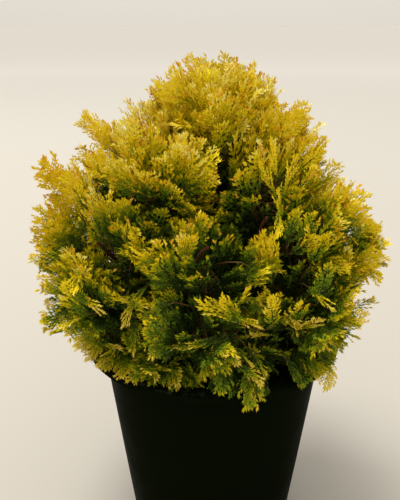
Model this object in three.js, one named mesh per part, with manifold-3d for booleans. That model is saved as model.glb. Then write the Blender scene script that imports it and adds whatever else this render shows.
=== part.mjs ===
// A dwarf golden Lawson cypress in a round black nursery pot.
// Millimetres, +Z up. The origin is the middle of the pot's flat underside, and -Y is the front.

import * as THREE from "three";
import { mergeVertices } from "three/addons/utils/BufferGeometryUtils.js";
import Module from "manifold-3d";

const wasm = await Module();
wasm.setup();

// Pot
const POT_HEIGHT = 215;
const RIM_RADIUS = 125;
const RIM_DROP = 7;
const BODY_TOP_RADIUS = 110;
const BASE_RADIUS = 84;
const BASE_CHAMFER = 1.5;
const WALL = 2.2;
const RIM_THICKNESS = 2.4;
const RIM_CHAMFER = 1.2;
const FLOOR_THICKNESS = 3;
const POT_SIDES = 48;
const DRAIN_HOLES = 6;
const DRAIN_HOLE_RADIUS = 6;
const DRAIN_HOLE_SIDES = 8;
const DRAIN_CIRCLE_RADIUS = 62;

// Potting mix, flat round the trunk and a little lower at the wall
const SOIL_TOP = 190;
const SOIL_EDGE_DROP = 4;
const SOIL_FLAT_RADIUS = 40;

// Gap between pieces that touch on the real plant
const GAP = 0.3;

// Trunk
const TRUNK_TOP = [7, 12, 402];
const TRUNK_LEAN = [-5, 2];
const TRUNK_BASE_RADIUS = 10.5;
const TRUNK_TIP_RADIUS = 2.6;
const TRUNK_SIDES = 10;
const TRUNK_STEPS = 10;
const ROOT_FLARE = 5;
const ROOT_FLARE_HEIGHT = 14;
const ROOT_LOBES = 4;

// Boughs
const BOUGH_BASE_RADIUS = 4.6;
const BOUGH_TIP_RADIUS = 1.9;
const BOUGH_SIDES = 5;
const BOUGH_STEPS = 5;
const BOUGH_RISE_STEP = 3;

// Stems inside the masses of foliage
const STEM_RADIUS = 1.9;
const TWIG_RADIUS = 1.1;

// Masses of foliage, tier by tier: how many, their distance from the axis, their height over the
// rim, their half width and half length, how steeply they rise, and the azimuth of the first.
// A tier with boughs has the height over the soil where its lowest bough leaves the trunk.
const TIERS = [
  { name: "skirt", count: 7, radius: 86, height: 18, across: 43, along: 52, rise: 0, turn: -14, bough: 8 },
  { name: "lower", count: 8, radius: 112, height: 76, across: 41, along: 56, rise: 15, turn: 40, bough: 32 },
  { name: "middle", count: 7, radius: 94, height: 115, across: 52, along: 54, rise: 26, turn: 14, bough: 64 },
  { name: "upper", count: 5, radius: 64, height: 163, across: 47, along: 53, rise: 59, turn: 94 },
  { name: "crown", count: 3, radius: 25, height: 211, across: 35, along: 44, rise: 67, turn: 36 },
];
const LEADER = { x: 8, y: 18, height: 221, across: 38, along: 45 };

// How far the seeded rule may move a mass: by a share of the step round, a share of its distance,
// a height, and a share of its size
const SEED = 77314;
const TURN_SPREAD = 0.14;
const RADIUS_SPREAD = 0.08;
const HEIGHT_SPREAD = 12;
const SIZE_SPREAD = 0.12;

// Each mass has a lumpy core, and flat sprays of foliage stand out of it
const CORE_SHARE = 0.7;
const CORE_LUMPS = 0.12;
const SPRAYS_ROUND = 14;
const SPRAY_ROOT_SHARE = 0.62;
const SPRAY_TILT = 35;
const SPRAY_THICKNESS_SHARE = 0.035;
const SPRAY_RIB_PLACE = 0.42;
const ROOT_DROP_AT_RIM = 0.1;
const ROOT_DROP_ABOVE = 1.2;
const SPRAY_REACH = 1.2;
const SPRAY_TRIES = [1, 0.92, 0.84, 0.76];
const INWARD_LIMIT = -0.35;
const TOOTH_ANGLES = [-46, -19, 12, 42];
const TOOTH_LENGTHS = [0.66, 0.92, 1, 0.72];
const NOTCH_SHARE = 0.74;

// Leading shoots that stand clear of their mass: the azimuth, rise and length of the twig from the
// middle of the mass, then how steeply its sprays rise and how far they are turned on edge
const SHOOTS = [
  { mass: "upper_2", azimuth: 185, rise: 24, length: 62, sprayRise: 32, turn: 80 },
  { mass: "middle_4", azimuth: 180, rise: 18, length: 68, sprayRise: 28, turn: 80 },
  { mass: "middle_7", azimuth: 345, rise: 26, length: 50, sprayRise: 50, turn: 80 },
  { mass: "lower_5", azimuth: 215, rise: -5, length: 42, sprayRise: -30, turn: 40 },
  { mass: "skirt_7", azimuth: 275, rise: -8, length: 48, sprayRise: -60, turn: 0 },
  { mass: "skirt_1", azimuth: 325, rise: -6, length: 46, sprayRise: -45, turn: 10 },
];
const SHOOT_SPRAY_LENGTH = 44;
const SHOOT_LOWER_SPRAY_PLACE = 0.6;

const COLOURS = {
  pot: 0x14160f,
  soil: 0x2c2219,
  bark: 0x6d4630,
  skirt: 0x7c8420,
  lower: 0x97931f,
  middle: 0xb09c22,
  upper: 0xc2a325,
  crown: 0xcfab2a,
  leader: 0xd6b02c,
};

const UP = new THREE.Vector3(0, 0, 1);
const radians = THREE.MathUtils.degToRad;

// A repeatable stream of numbers from 0 to 1
function randomStream(seed) {
  let state = seed >>> 0;
  return () => {
    state = (state + 0x6d2b79f5) >>> 0;
    let mixed = Math.imul(state ^ (state >>> 15), state | 1);
    mixed ^= mixed + Math.imul(mixed ^ (mixed >>> 7), mixed | 61);
    return ((mixed ^ (mixed >>> 14)) >>> 0) / 4294967296;
  };
}

// A number from -1 to 1
function swing(draw) {
  return 2 * draw() - 1;
}

// The geometry with its shared vertices merged, and position alone left
function welded(geometry) {
  geometry.deleteAttribute("normal");
  geometry.deleteAttribute("uv");
  return mergeVertices(geometry, 1e-4);
}

// A closed geometry as a solid that can be joined and cut
function solid(geometry) {
  const merged = welded(geometry);
  const index = merged.index.array;
  const corners = [];
  for (let i = 0; i < index.length; i += 3) {
    const [a, b, c] = [index[i], index[i + 1], index[i + 2]];
    if (a !== b && b !== c && c !== a) corners.push(a, b, c);
  }
  const vertProperties = new Float32Array(merged.attributes.position.array);
  const triVerts = new Uint32Array(corners);
  return new wasm.Manifold(new wasm.Mesh({ numProp: 3, vertProperties, triVerts }));
}

// A solid as a geometry
function geometryOf(body) {
  const mesh = body.getMesh();
  const geometry = new THREE.BufferGeometry();
  geometry.setAttribute("position", new THREE.BufferAttribute(mesh.vertProperties, 3));
  geometry.setIndex(new THREE.BufferAttribute(mesh.triVerts, 1));
  geometry.computeVertexNormals();
  return geometry;
}

// The largest loose piece of a solid, with no hollow sealed inside it
function largestPiece(body) {
  const pieces = body.decompose();
  return pieces.reduce((best, piece) => (piece.volume() > best.volume() ? piece : best));
}

// A closed profile of [radius, height] pairs turned about the Z axis
function turned(profile) {
  const points = profile.map(([radius, height]) => new THREE.Vector2(radius, height));
  return new THREE.LatheGeometry(points, POT_SIDES).rotateX(Math.PI / 2);
}

// The pot's outer radius at a height up its tapering body
function bodyRadius(height) {
  return BASE_RADIUS + ((BODY_TOP_RADIUS - BASE_RADIUS) * height) / POT_HEIGHT;
}

// The pot: a tapering body, a flat floor with drain holes, and a rim turned out and down
function potSolid() {
  const rimUnder = POT_HEIGHT - RIM_THICKNESS;
  const shell = solid(turned([
    [0, 0],
    [BASE_RADIUS - BASE_CHAMFER, 0],
    [BASE_RADIUS, BASE_CHAMFER],
    [bodyRadius(rimUnder), rimUnder],
    [RIM_RADIUS - RIM_THICKNESS, rimUnder],
    [RIM_RADIUS - RIM_THICKNESS, POT_HEIGHT - RIM_DROP],
    [RIM_RADIUS, POT_HEIGHT - RIM_DROP],
    [RIM_RADIUS, POT_HEIGHT - RIM_CHAMFER],
    [RIM_RADIUS - RIM_CHAMFER, POT_HEIGHT],
    [bodyRadius(POT_HEIGHT) - WALL, POT_HEIGHT],
    [bodyRadius(FLOOR_THICKNESS) - WALL, FLOOR_THICKNESS],
    [0, FLOOR_THICKNESS],
  ]));
  let pot = shell;
  for (let k = 0; k < DRAIN_HOLES; k++) {
    const angle = (2 * Math.PI * k) / DRAIN_HOLES;
    const depth = 4 * FLOOR_THICKNESS;
    const hole = new THREE.CylinderGeometry(DRAIN_HOLE_RADIUS, DRAIN_HOLE_RADIUS, depth, DRAIN_HOLE_SIDES);
    hole.rotateX(Math.PI / 2);
    hole.translate(DRAIN_CIRCLE_RADIUS * Math.cos(angle), DRAIN_CIRCLE_RADIUS * Math.sin(angle), 0);
    pot = pot.subtract(solid(hole));
  }
  return pot;
}

// The potting mix fills the pot to a little under the rim
function soilSolid() {
  const edgeTop = SOIL_TOP - SOIL_EDGE_DROP;
  const bottom = FLOOR_THICKNESS + GAP;
  return solid(turned([
    [0, bottom],
    [bodyRadius(bottom) - WALL - GAP, bottom],
    [bodyRadius(edgeTop) - WALL - GAP, edgeTop],
    [SOIL_FLAT_RADIUS, SOIL_TOP],
    [0, SOIL_TOP],
  ]));
}

// The space of pot and potting mix together, grown by the gap, that foliage stays out of
function potSpace() {
  const top = POT_HEIGHT + GAP;
  return solid(turned([
    [0, 0],
    [BASE_RADIUS + GAP, 0],
    [bodyRadius(POT_HEIGHT - RIM_DROP) + GAP, POT_HEIGHT - RIM_DROP - GAP],
    [RIM_RADIUS + GAP, POT_HEIGHT - RIM_DROP - GAP],
    [RIM_RADIUS + GAP, top],
    [bodyRadius(POT_HEIGHT) - WALL - GAP, top],
    [bodyRadius(SOIL_TOP) - WALL - GAP, SOIL_TOP + GAP],
    [0, SOIL_TOP + GAP],
  ]));
}

// A tapering limb round a curve. radiusAt gives its radius from the share along and the angle round;
// grown makes it thicker and longer by that much, as the space that other pieces keep clear of.
function limbSolid(curve, radiusAt, sides, steps, grown = 0) {
  const geometry = welded(new THREE.CylinderGeometry(1, 1, 1, sides, steps));
  const frames = curve.computeFrenetFrames(steps);
  const position = geometry.attributes.position;
  for (let i = 0; i < position.count; i++) {
    const [x, y, z] = [position.getX(i), position.getY(i), position.getZ(i)];
    const share = y + 0.5;
    const ring = Math.round(share * steps);
    const middle = Math.hypot(x, z) < 0.5;
    const radius = middle ? 0 : radiusAt(share, Math.atan2(z, x)) + grown;
    const place = curve.getPointAt(share);
    place.addScaledVector(frames.binormals[ring], x * radius);
    place.addScaledVector(frames.normals[ring], z * radius);
    if (ring === 0) place.addScaledVector(frames.tangents[0], -grown);
    if (ring === steps) place.addScaledVector(frames.tangents[steps], grown);
    position.setXYZ(i, place.x, place.y, place.z);
  }
  return solid(geometry);
}

function straightTaper(first, last) {
  return (share) => first + (last - first) * share;
}

// The trunk's middle line, upright where it is cut level with the soil
function trunkCurve() {
  const foot = new THREE.Vector3(0, 0, SOIL_TOP + GAP);
  const tip = new THREE.Vector3(...TRUNK_TOP);
  const third = (tip.z - foot.z) / 3;
  return new THREE.CubicBezierCurve3(
    foot,
    new THREE.Vector3(0, 0, foot.z + third),
    new THREE.Vector3(TRUNK_LEAN[0], TRUNK_LEAN[1], foot.z + 2 * third),
    tip,
  );
}

// The trunk's radius: an even taper, with lobes of root flare at the foot
function trunkRadius(share, angle) {
  const length = TRUNK_TOP[2] - SOIL_TOP;
  const flare = ROOT_FLARE * Math.exp((-share * length) / ROOT_FLARE_HEIGHT);
  const lobes = 1 + 0.3 * Math.cos(ROOT_LOBES * angle + 1);
  return straightTaper(TRUNK_BASE_RADIUS, TRUNK_TIP_RADIUS)(share) + flare * lobes;
}

// The places, sizes and directions of the masses of foliage
function foliageMasses() {
  const draw = randomStream(SEED);
  const masses = [];
  for (const tier of TIERS) {
    for (let k = 0; k < tier.count; k++) {
      const azimuth = radians(tier.turn + (360 / tier.count) * (k + TURN_SPREAD * swing(draw)));
      const radius = tier.radius * (1 + RADIUS_SPREAD * swing(draw));
      const height = POT_HEIGHT + tier.height + HEIGHT_SPREAD * swing(draw);
      const size = 1 + SIZE_SPREAD * swing(draw);
      const rise = radians(tier.rise);
      const outward = new THREE.Vector3(Math.cos(azimuth), Math.sin(azimuth), 0);
      masses.push({
        name: `${tier.name}_${k + 1}`,
        tier: tier.name,
        place: k,
        bough: tier.bough,
        outward,
        centre: outward.clone().multiplyScalar(radius).setZ(height),
        axis: outward.clone().multiplyScalar(Math.cos(rise)).setZ(Math.sin(rise)),
        along: tier.along * size,
        across: tier.across * size,
      });
    }
  }
  masses.push({
    name: "leader",
    tier: "leader",
    outward: new THREE.Vector3(LEADER.x, LEADER.y, 0).normalize(),
    centre: new THREE.Vector3(LEADER.x, LEADER.y, POT_HEIGHT + LEADER.height),
    axis: UP.clone(),
    along: LEADER.along,
    across: LEADER.across,
  });
  return masses;
}

// How far a mass reaches from its centre along a direction
function surfaceReach(mass, direction) {
  const lean = mass.axis.dot(direction) ** 2;
  return 1 / Math.sqrt(lean / mass.along ** 2 + (1 - lean) / mass.across ** 2);
}

// How far the plane square to a direction is from the centre where it touches the mass
function planeReach(mass, direction) {
  const lean = mass.axis.dot(direction) ** 2;
  return Math.sqrt(lean * mass.along ** 2 + (1 - lean) * mass.across ** 2);
}

// The flat walls between a mass's own space and that of every other mass
function wallsOf(mass, masses) {
  return masses.filter((other) => other !== mass).map((other) => {
    const normal = other.centre.clone().sub(mass.centre);
    const apart = normal.length();
    normal.divideScalar(apart);
    const own = planeReach(mass, normal);
    const share = own / (own + planeReach(other, normal));
    return { normal, reach: apart * share - GAP / 2 };
  });
}

// Whether a point keeps to the mass's own space
function insideWalls(mass, point) {
  const offset = point.clone().sub(mass.centre);
  return mass.walls.every((wall) => wall.normal.dot(offset) <= wall.reach);
}

// How far a share of the mass reaches along a direction, held back by the walls of its space
function heldReach(mass, direction, share) {
  let reach = share * surfaceReach(mass, direction);
  for (const wall of mass.walls) {
    const facing = wall.normal.dot(direction);
    if (facing > 0) reach = Math.min(reach, wall.reach / facing);
  }
  return reach;
}

// The lumpy core of a mass
function coreSolid(mass, draw) {
  const geometry = welded(new THREE.DodecahedronGeometry(1));
  const position = geometry.attributes.position;
  const direction = new THREE.Vector3();
  for (let i = 0; i < position.count; i++) {
    direction.fromBufferAttribute(position, i).normalize();
    const reach = heldReach(mass, direction, CORE_SHARE) * (1 - CORE_LUMPS * (1 + swing(draw)));
    direction.multiplyScalar(reach).add(mass.centre);
    position.setXYZ(i, direction.x, direction.y, direction.z);
  }
  return solid(geometry);
}

// The outline of a spray: its root, then teeth with notches between them, on a unit length
function sprayOutline() {
  const outline = [[0, 0]];
  TOOTH_ANGLES.forEach((degrees, k) => {
    if (k > 0) {
      const notch = NOTCH_SHARE * Math.min(TOOTH_LENGTHS[k - 1], TOOTH_LENGTHS[k]);
      const between = radians((TOOTH_ANGLES[k - 1] + degrees) / 2);
      outline.push([notch * Math.cos(between), notch * Math.sin(between)]);
    }
    const angle = radians(degrees);
    outline.push([TOOTH_LENGTHS[k] * Math.cos(angle), TOOTH_LENGTHS[k] * Math.sin(angle)]);
  });
  return outline;
}

// A spray: a double pyramid whose rim is drawn out into teeth and whose tips lie close together.
// Its flat side faces outward, turned a little about the way that it grows.
function sprayGeometry(root, tip, outward, turn) {
  const outline = sprayOutline();
  const geometry = welded(new THREE.SphereGeometry(1, outline.length, 2));
  const length = root.distanceTo(tip);
  const growth = tip.clone().sub(root).normalize();
  const sideways = new THREE.Vector3().crossVectors(outward, growth).normalize();
  const facing = new THREE.Vector3().crossVectors(growth, sideways).applyAxisAngle(growth, turn);
  const width = new THREE.Vector3().crossVectors(growth, facing);
  const position = geometry.attributes.position;
  for (let i = 0; i < position.count; i++) {
    const [x, y, z] = [position.getX(i), position.getY(i), position.getZ(i)];
    const place = root.clone();
    if (Math.abs(y) > 0.5) {
      place.addScaledVector(growth, SPRAY_RIB_PLACE * length);
      place.addScaledVector(facing, (y * SPRAY_THICKNESS_SHARE * length) / 2);
    } else {
      const round = Math.atan2(z, x) / (2 * Math.PI);
      const corner = Math.round((round + 1) * outline.length) % outline.length;
      place.addScaledVector(growth, outline[corner][0] * length);
      place.addScaledVector(width, outline[corner][1] * length);
    }
    position.setXYZ(i, place.x, place.y, place.z);
  }
  return geometry;
}

// Even directions all round, by a spiral from pole to pole
function spiralDirections(count, start) {
  const goldenTurn = Math.PI * (3 - Math.sqrt(5));
  return Array.from({ length: count }, (_, k) => {
    const height = 1 - (2 * k + 1) / count;
    const radius = Math.sqrt(1 - height * height);
    const angle = start + goldenTurn * k;
    return new THREE.Vector3(radius * Math.cos(angle), radius * Math.sin(angle), height);
  });
}

// How far below its tip a spray is rooted, for its height: sprays droop at the rim and stand up above
function rootDrop(height) {
  const share = (height - POT_HEIGHT) / LEADER.height;
  const drop = ROOT_DROP_AT_RIM + (ROOT_DROP_ABOVE - ROOT_DROP_AT_RIM) * 3 * share;
  return THREE.MathUtils.clamp(drop, ROOT_DROP_AT_RIM, ROOT_DROP_ABOVE);
}

// One spray of a mass along a direction, or nothing if it would leave the mass's space or touch a limb
function spraySolid(mass, direction, keepOut, draw) {
  const turn = radians(SPRAY_TILT) * swing(draw);
  for (const scale of SPRAY_TRIES) {
    const reach = scale * heldReach(mass, direction, SPRAY_REACH);
    const tip = mass.centre.clone().addScaledVector(direction, reach);
    const inward = direction.clone().addScaledVector(UP, -rootDrop(tip.z)).normalize();
    const depth = SPRAY_ROOT_SHARE * heldReach(mass, inward, CORE_SHARE);
    const root = mass.centre.clone().addScaledVector(inward, depth);
    const geometry = sprayGeometry(root, tip, direction, turn);
    const position = geometry.attributes.position;
    const corners = Array.from({ length: position.count }, (_, i) =>
      new THREE.Vector3().fromBufferAttribute(position, i));
    if (!corners.every((corner) => insideWalls(mass, corner))) continue;
    const spray = solid(geometry);
    if (spray.intersect(keepOut).isEmpty()) return spray;
  }
  return null;
}

// The direction at an azimuth and a rise, in degrees
function directionAt(azimuth, rise) {
  return new THREE.Vector3(1, 0, 0).applyAxisAngle(new THREE.Vector3(0, -1, 0), radians(rise))
    .applyAxisAngle(UP, radians(azimuth));
}

// The twig and the two sprays of one leading shoot
function shootSolids(mass, shoot) {
  const twigEnd = mass.centre.clone().addScaledVector(directionAt(shoot.azimuth, shoot.rise), shoot.length);
  const growth = directionAt(shoot.azimuth, shoot.sprayRise).multiplyScalar(SHOOT_SPRAY_LENGTH);
  const twig = new THREE.LineCurve3(mass.centre, twigEnd);
  const places = [twigEnd, twig.getPoint(SHOOT_LOWER_SPRAY_PLACE)];
  const sprays = places.map((place) => {
    const root = place.clone().addScaledVector(growth, -SPRAY_RIB_PLACE);
    return solid(sprayGeometry(root, root.clone().add(growth), UP, radians(shoot.turn)));
  });
  return [limbSolid(twig, straightTaper(STEM_RADIUS, TWIG_RADIUS), 3, 1), ...sprays];
}

// The whole mass: stem, core and sprays, joined
function massSolid(mass, keepOut, seed) {
  const draw = randomStream(seed);
  const core = coreSolid(mass, draw).subtract(keepOut);
  const parts = [core, mass.stem];
  for (const direction of spiralDirections(SPRAYS_ROUND, 2 * Math.PI * draw())) {
    if (direction.dot(mass.outward) < INWARD_LIMIT) continue;
    const spray = spraySolid(mass, direction, keepOut, draw);
    if (spray) parts.push(spray);
  }
  for (const shoot of SHOOTS.filter((one) => one.mass === mass.name)) {
    parts.push(...shootSolids(mass, shoot));
  }
  return largestPiece(wasm.Manifold.union(parts));
}

// Where a bough ends and the mass's own stem goes on from it
function entryPoint(mass) {
  const back = mass.axis.clone().negate();
  return mass.centre.clone().addScaledVector(back, heldReach(mass, back, CORE_SHARE) + 3);
}

// The middle line of a bough, from inside the trunk to the mass that it carries
function boughCurve(mass, trunk) {
  const level = (mass.place * 3) % 8;
  const start = pointAtHeight(trunk, SOIL_TOP + mass.bough + BOUGH_RISE_STEP * level);
  const end = entryPoint(mass);
  const length = start.distanceTo(end);
  const leaving = mass.outward.clone().multiplyScalar(0.35 * length).setZ(0.16 * length).add(start);
  const arriving = end.clone().addScaledVector(mass.axis, -0.3 * length);
  return new THREE.CubicBezierCurve3(start, leaving, arriving, end);
}

// The point of the trunk's middle line at a height
function pointAtHeight(trunk, height) {
  let [low, high] = [0, 1];
  for (let k = 0; k < 30; k++) {
    const middle = (low + high) / 2;
    if (trunk.getPoint(middle).z < height) low = middle;
    else high = middle;
  }
  return trunk.getPoint(low);
}

// The middle line of a stem, from its bough's tip or from inside the trunk to the middle of the mass
function stemCurve(mass, trunk) {
  if (mass.bough) {
    const start = entryPoint(mass).addScaledVector(mass.axis, GAP);
    return new THREE.LineCurve3(start, mass.centre);
  }
  if (mass.tier === "leader") {
    const start = trunk.getPoint(1).addScaledVector(trunk.getTangent(1), GAP);
    return new THREE.LineCurve3(start, mass.centre);
  }
  const away = mass.centre.clone().setZ(0).length();
  const start = pointAtHeight(trunk, mass.centre.z - 0.8 * away);
  return new THREE.LineCurve3(start, mass.centre);
}

const group = new THREE.Group();

function addPiece(name, body, colour, roughness, metalness = 0) {
  const material = new THREE.MeshStandardMaterial({ color: colour, roughness, metalness });
  const mesh = new THREE.Mesh(geometryOf(body), material);
  mesh.name = name;
  group.add(mesh);
}

addPiece("pot", potSolid(), COLOURS.pot, 0.35);
addPiece("potting_mix", soilSolid(), COLOURS.soil, 0.95);

const trunk = trunkCurve();
addPiece("trunk", limbSolid(trunk, trunkRadius, TRUNK_SIDES, TRUNK_STEPS), COLOURS.bark, 0.9);

const masses = foliageMasses();
for (const mass of masses) mass.walls = wallsOf(mass, masses);

// Limbs, each cut clear of those before it
let limbSpace = limbSolid(trunk, trunkRadius, TRUNK_SIDES, TRUNK_STEPS, GAP);
const boughTaper = straightTaper(BOUGH_BASE_RADIUS, BOUGH_TIP_RADIUS);
for (const mass of masses.filter((one) => one.bough)) {
  const curve = boughCurve(mass, trunk);
  const bough = limbSolid(curve, boughTaper, BOUGH_SIDES, BOUGH_STEPS).subtract(limbSpace);
  addPiece(`bough_${mass.name}`, largestPiece(bough), COLOURS.bark, 0.9);
  limbSpace = limbSpace.add(limbSolid(curve, boughTaper, BOUGH_SIDES, BOUGH_STEPS, GAP));
}

// Stems, each cut clear of the limbs and of the other stems
const stemTaper = straightTaper(STEM_RADIUS, TWIG_RADIUS);
let stemSpace = limbSpace;
for (const mass of masses) {
  const curve = stemCurve(mass, trunk);
  mass.stem = largestPiece(limbSolid(curve, stemTaper, 3, 1).subtract(stemSpace));
  mass.stemSpace = limbSolid(curve, stemTaper, 3, 1, GAP);
  stemSpace = stemSpace.add(mass.stemSpace);
}

// Masses of foliage
const potAndLimbs = potSpace().add(limbSpace);
masses.forEach((mass, k) => {
  const otherStems = masses.filter((other) => other !== mass).map((other) => other.stemSpace);
  const keepOut = wasm.Manifold.union([potAndLimbs, ...otherStems]);
  addPiece(`foliage_${mass.name}`, massSolid(mass, keepOut, SEED + 1 + k), COLOURS[mass.tier], 0.8);
});

export default group;
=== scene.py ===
"""Dwarf golden Lawson cypress in a round black nursery pot.

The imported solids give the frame: the pot's size, where the soil lies, and how far the crown reaches.
Here the pot, the potting mix, the limbs and the foliage are made as they look, in metres.
"""

import math
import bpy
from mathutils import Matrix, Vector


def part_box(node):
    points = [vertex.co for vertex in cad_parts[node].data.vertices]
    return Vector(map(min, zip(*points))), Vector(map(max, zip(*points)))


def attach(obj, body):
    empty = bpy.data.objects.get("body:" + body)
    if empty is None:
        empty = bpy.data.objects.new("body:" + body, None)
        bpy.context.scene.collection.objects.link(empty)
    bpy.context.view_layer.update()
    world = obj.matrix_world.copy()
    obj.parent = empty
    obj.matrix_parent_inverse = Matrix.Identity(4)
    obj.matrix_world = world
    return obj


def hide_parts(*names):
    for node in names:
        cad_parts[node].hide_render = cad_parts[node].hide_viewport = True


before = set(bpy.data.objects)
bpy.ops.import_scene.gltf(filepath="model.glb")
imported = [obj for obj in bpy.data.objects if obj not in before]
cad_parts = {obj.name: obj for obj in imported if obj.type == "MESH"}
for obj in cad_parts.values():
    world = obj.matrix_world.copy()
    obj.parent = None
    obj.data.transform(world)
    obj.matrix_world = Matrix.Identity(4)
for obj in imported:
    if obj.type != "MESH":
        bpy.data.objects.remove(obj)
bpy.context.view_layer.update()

from types import SimpleNamespace

import bpy
import numpy as np
from bpy.props import FloatProperty, FloatVectorProperty, IntProperty, PointerProperty
from mathutils import Vector

bl_info = {
    "name": "Potted golden cypress",
    "version": (1, 0, 0),
    "blender": (4, 5, 0),
    "location": "View3D > Sidebar > Cypress",
    "description": "Builds a potted dwarf golden Lawson cypress round its packed solids",
    "category": "Object",
}

MM = 0.001
TAU = 2 * math.pi
UP = np.array([0.0, 0.0, 1.0])

# The frame gives the main sizes, and the crown's own rule below is in millimetres
POT_CORNER, SOIL_CORNER = Vector(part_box("pot")[1]), Vector(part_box("potting_mix")[1])
POT_HEIGHT, RIM_RADIUS, SOIL_TOP = POT_CORNER.z, POT_CORNER.x, SOIL_CORNER.z
POT_TOP_MM, SOIL_TOP_MM = POT_HEIGHT / MM, SOIL_TOP / MM
FOLIAGE_NODES = sorted(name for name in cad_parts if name.startswith("foliage_"))
LIMB_NODES = sorted(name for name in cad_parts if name.startswith("bough_")) + ["trunk"]

# Colours of the foliage, from the shaded inside to the sunlit tips, as a screen's red, green and blue. The darkest
# greens are lifted a little, painted light in the deep shade, and the palest golds on the tips are partly painted
# highlights.
FOLIAGE_TINTS = dict(
    shade_green=(43, 58, 15), deep_green=(56, 74, 19), leaf_green=(71, 93, 23), fresh_green=(92, 117, 25),
    lime=(116, 137, 25), olive_yellow=(142, 153, 23), olive_gold=(170, 167, 20), gold=(197, 183, 18),
    bright_gold=(224, 202, 21), sun_gold=(243, 217, 34), pale_gold_highlight=(247, 229, 84), cream_gold_highlight=(253, 241, 140),
    orange_gold=(238, 188, 42), straw=(212, 188, 48), pale_straw=(240, 213, 80))


def linear(screen):
    """A screen colour as the linear one that a shader takes. One of four values is linear already."""
    if len(screen) == 4:
        return screen
    values = np.array(screen, float) / 255
    return tuple(np.where(values <= 0.04045, values / 12.92, ((values + 0.055) / 1.055) ** 2.4)) + (1.0,)


class PotSettings(bpy.types.PropertyGroup):
    wall: FloatProperty(name="Wall", description="Thickness of the moulded wall", default=2.2 * MM, unit="LENGTH")
    base_radius: FloatProperty(name="Base radius", description="Outer radius at the foot", default=84 * MM,
                               unit="LENGTH")
    body_radius: FloatProperty(name="Body radius", description="Outer radius of the body under the rim",
                               default=110 * MM, unit="LENGTH")
    rim_drop: FloatProperty(name="Rim drop", description="Height of the rim's turned-down edge", default=7 * MM,
                            unit="LENGTH")
    rim_thickness: FloatProperty(name="Rim thickness", description="Thickness of the rim", default=2.4 * MM,
                                 unit="LENGTH")
    floor: FloatProperty(name="Floor", description="Thickness of the floor", default=3 * MM, unit="LENGTH")
    sides: IntProperty(name="Sides", description="Facets round the pot", default=128)
    # The olive in this near-black plastic colour is partly a painted reflection of grass.
    colour: FloatVectorProperty(name="Colour", description="Plastic colour", default=linear((10, 15, 4)), size=4,
                                subtype="COLOR")


class PlantSettings(bpy.types.PropertyGroup):
    inner_fronds: IntProperty(name="Inner fronds", description="Short inner fronds all round one mass", default=24)
    frond_length: FloatProperty(name="Frond length", description="Longest frond", default=52 * MM, unit="LENGTH")
    bark: FloatVectorProperty(name="Bark", description="Bark colour", default=linear((82, 46, 18)), size=4,
                              subtype="COLOR")
    soil: FloatVectorProperty(name="Soil", description="Potting mix colour", default=linear((30, 23, 17)), size=4,
                              subtype="COLOR")


class StageSettings(bpy.types.PropertyGroup):
    floor_size: FloatProperty(name="Floor size", description="Radius of the floor", default=400.0, unit="LENGTH")
    floor_colour: FloatVectorProperty(name="Floor colour", description="Pale floor", size=4, subtype="COLOR",
                                      default=linear((240, 236, 229)))
    room_strength: FloatProperty(name="Room light", description="Strength of the pale room's light", default=1.05)
    key_power: FloatProperty(name="Key light", description="Power of the key light", default=170.0, unit="POWER")
    fill_power: FloatProperty(name="Fill light", description="Power of the fill light", default=9.0, unit="POWER")


# Small helpers for modelling

def deselect():
    if bpy.context.object and bpy.context.object.mode != "OBJECT":
        bpy.ops.object.mode_set(mode="OBJECT")
    bpy.ops.object.select_all(action="DESELECT")


def only(piece):
    """Makes one object the selected and active one."""
    deselect()
    piece.select_set(True)
    bpy.context.view_layer.objects.active = piece


def settle(piece):
    """Puts the piece's place into its mesh, so that its object sits at the origin."""
    only(piece)
    bpy.ops.object.transform_apply(location=True, rotation=True, scale=True)


def apply_modifiers(piece):
    only(piece)
    for modifier in list(piece.modifiers):
        bpy.ops.object.modifier_apply(modifier=modifier.name)


def turn_outward(piece):
    """Merges doubles and turns the faces outward."""
    only(piece)
    bpy.ops.object.mode_set(mode="EDIT")
    bpy.ops.mesh.select_all(action="SELECT")
    bpy.ops.mesh.remove_doubles(threshold=1e-6)
    bpy.ops.mesh.normals_make_consistent(inside=False)
    bpy.ops.object.mode_set(mode="OBJECT")


def finish_piece(piece, name, material, nodes=()):
    """Names the piece, gives it its finish, and ties it to the plant's one body."""
    piece.name = piece.data.name = name
    piece.data.materials.clear()
    piece.data.materials.append(material)
    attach(piece, "root")
    if nodes:
        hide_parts(*nodes)


def mesh_from_arrays(name, points, faces, smooth=True):
    """One object from an array of points and an array of three- or four-cornered faces."""
    data = bpy.data.meshes.new(name)
    data.vertices.add(len(points))
    data.vertices.foreach_set("co", points.astype(np.float32).ravel())
    data.loops.add(faces.size)
    data.loops.foreach_set("vertex_index", faces.astype(np.int32).ravel())
    data.polygons.add(len(faces))
    data.polygons.foreach_set("loop_start", np.arange(0, faces.size, faces.shape[1], dtype=np.int32))
    data.polygons.foreach_set("use_smooth", np.full(len(faces), smooth))
    data.update(calc_edges=True)
    data.validate()
    piece = bpy.data.objects.new(name, data)
    bpy.context.scene.collection.objects.link(piece)
    return piece


# Materials

def fill(node, inputs):
    """Sets each input of a node to a value, or links it to another node's output."""
    for name, value in inputs.items():
        if isinstance(value, bpy.types.NodeSocket):
            node.id_data.links.new(value, node.inputs[name])
        else:
            node.inputs[name].default_value = value


def add_node(tree, kind, inputs, output=0, **choices):
    """Adds a shader node with its inputs and choices, and gives one of its outputs."""
    node = tree.nodes.new("ShaderNode" + kind)
    for name, value in choices.items():
        setattr(node, name, value)
    fill(node, inputs)
    return node.outputs[output]


def noise(tree, place, scale, detail, roughness=0.5):
    return add_node(tree, "TexNoise", {"Vector": place, "Scale": scale, "Detail": detail, "Roughness": roughness},
                    "Fac")


def bump(tree, height, strength, distance):
    return add_node(tree, "Bump", {"Height": height, "Strength": strength, "Distance": distance})


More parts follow.
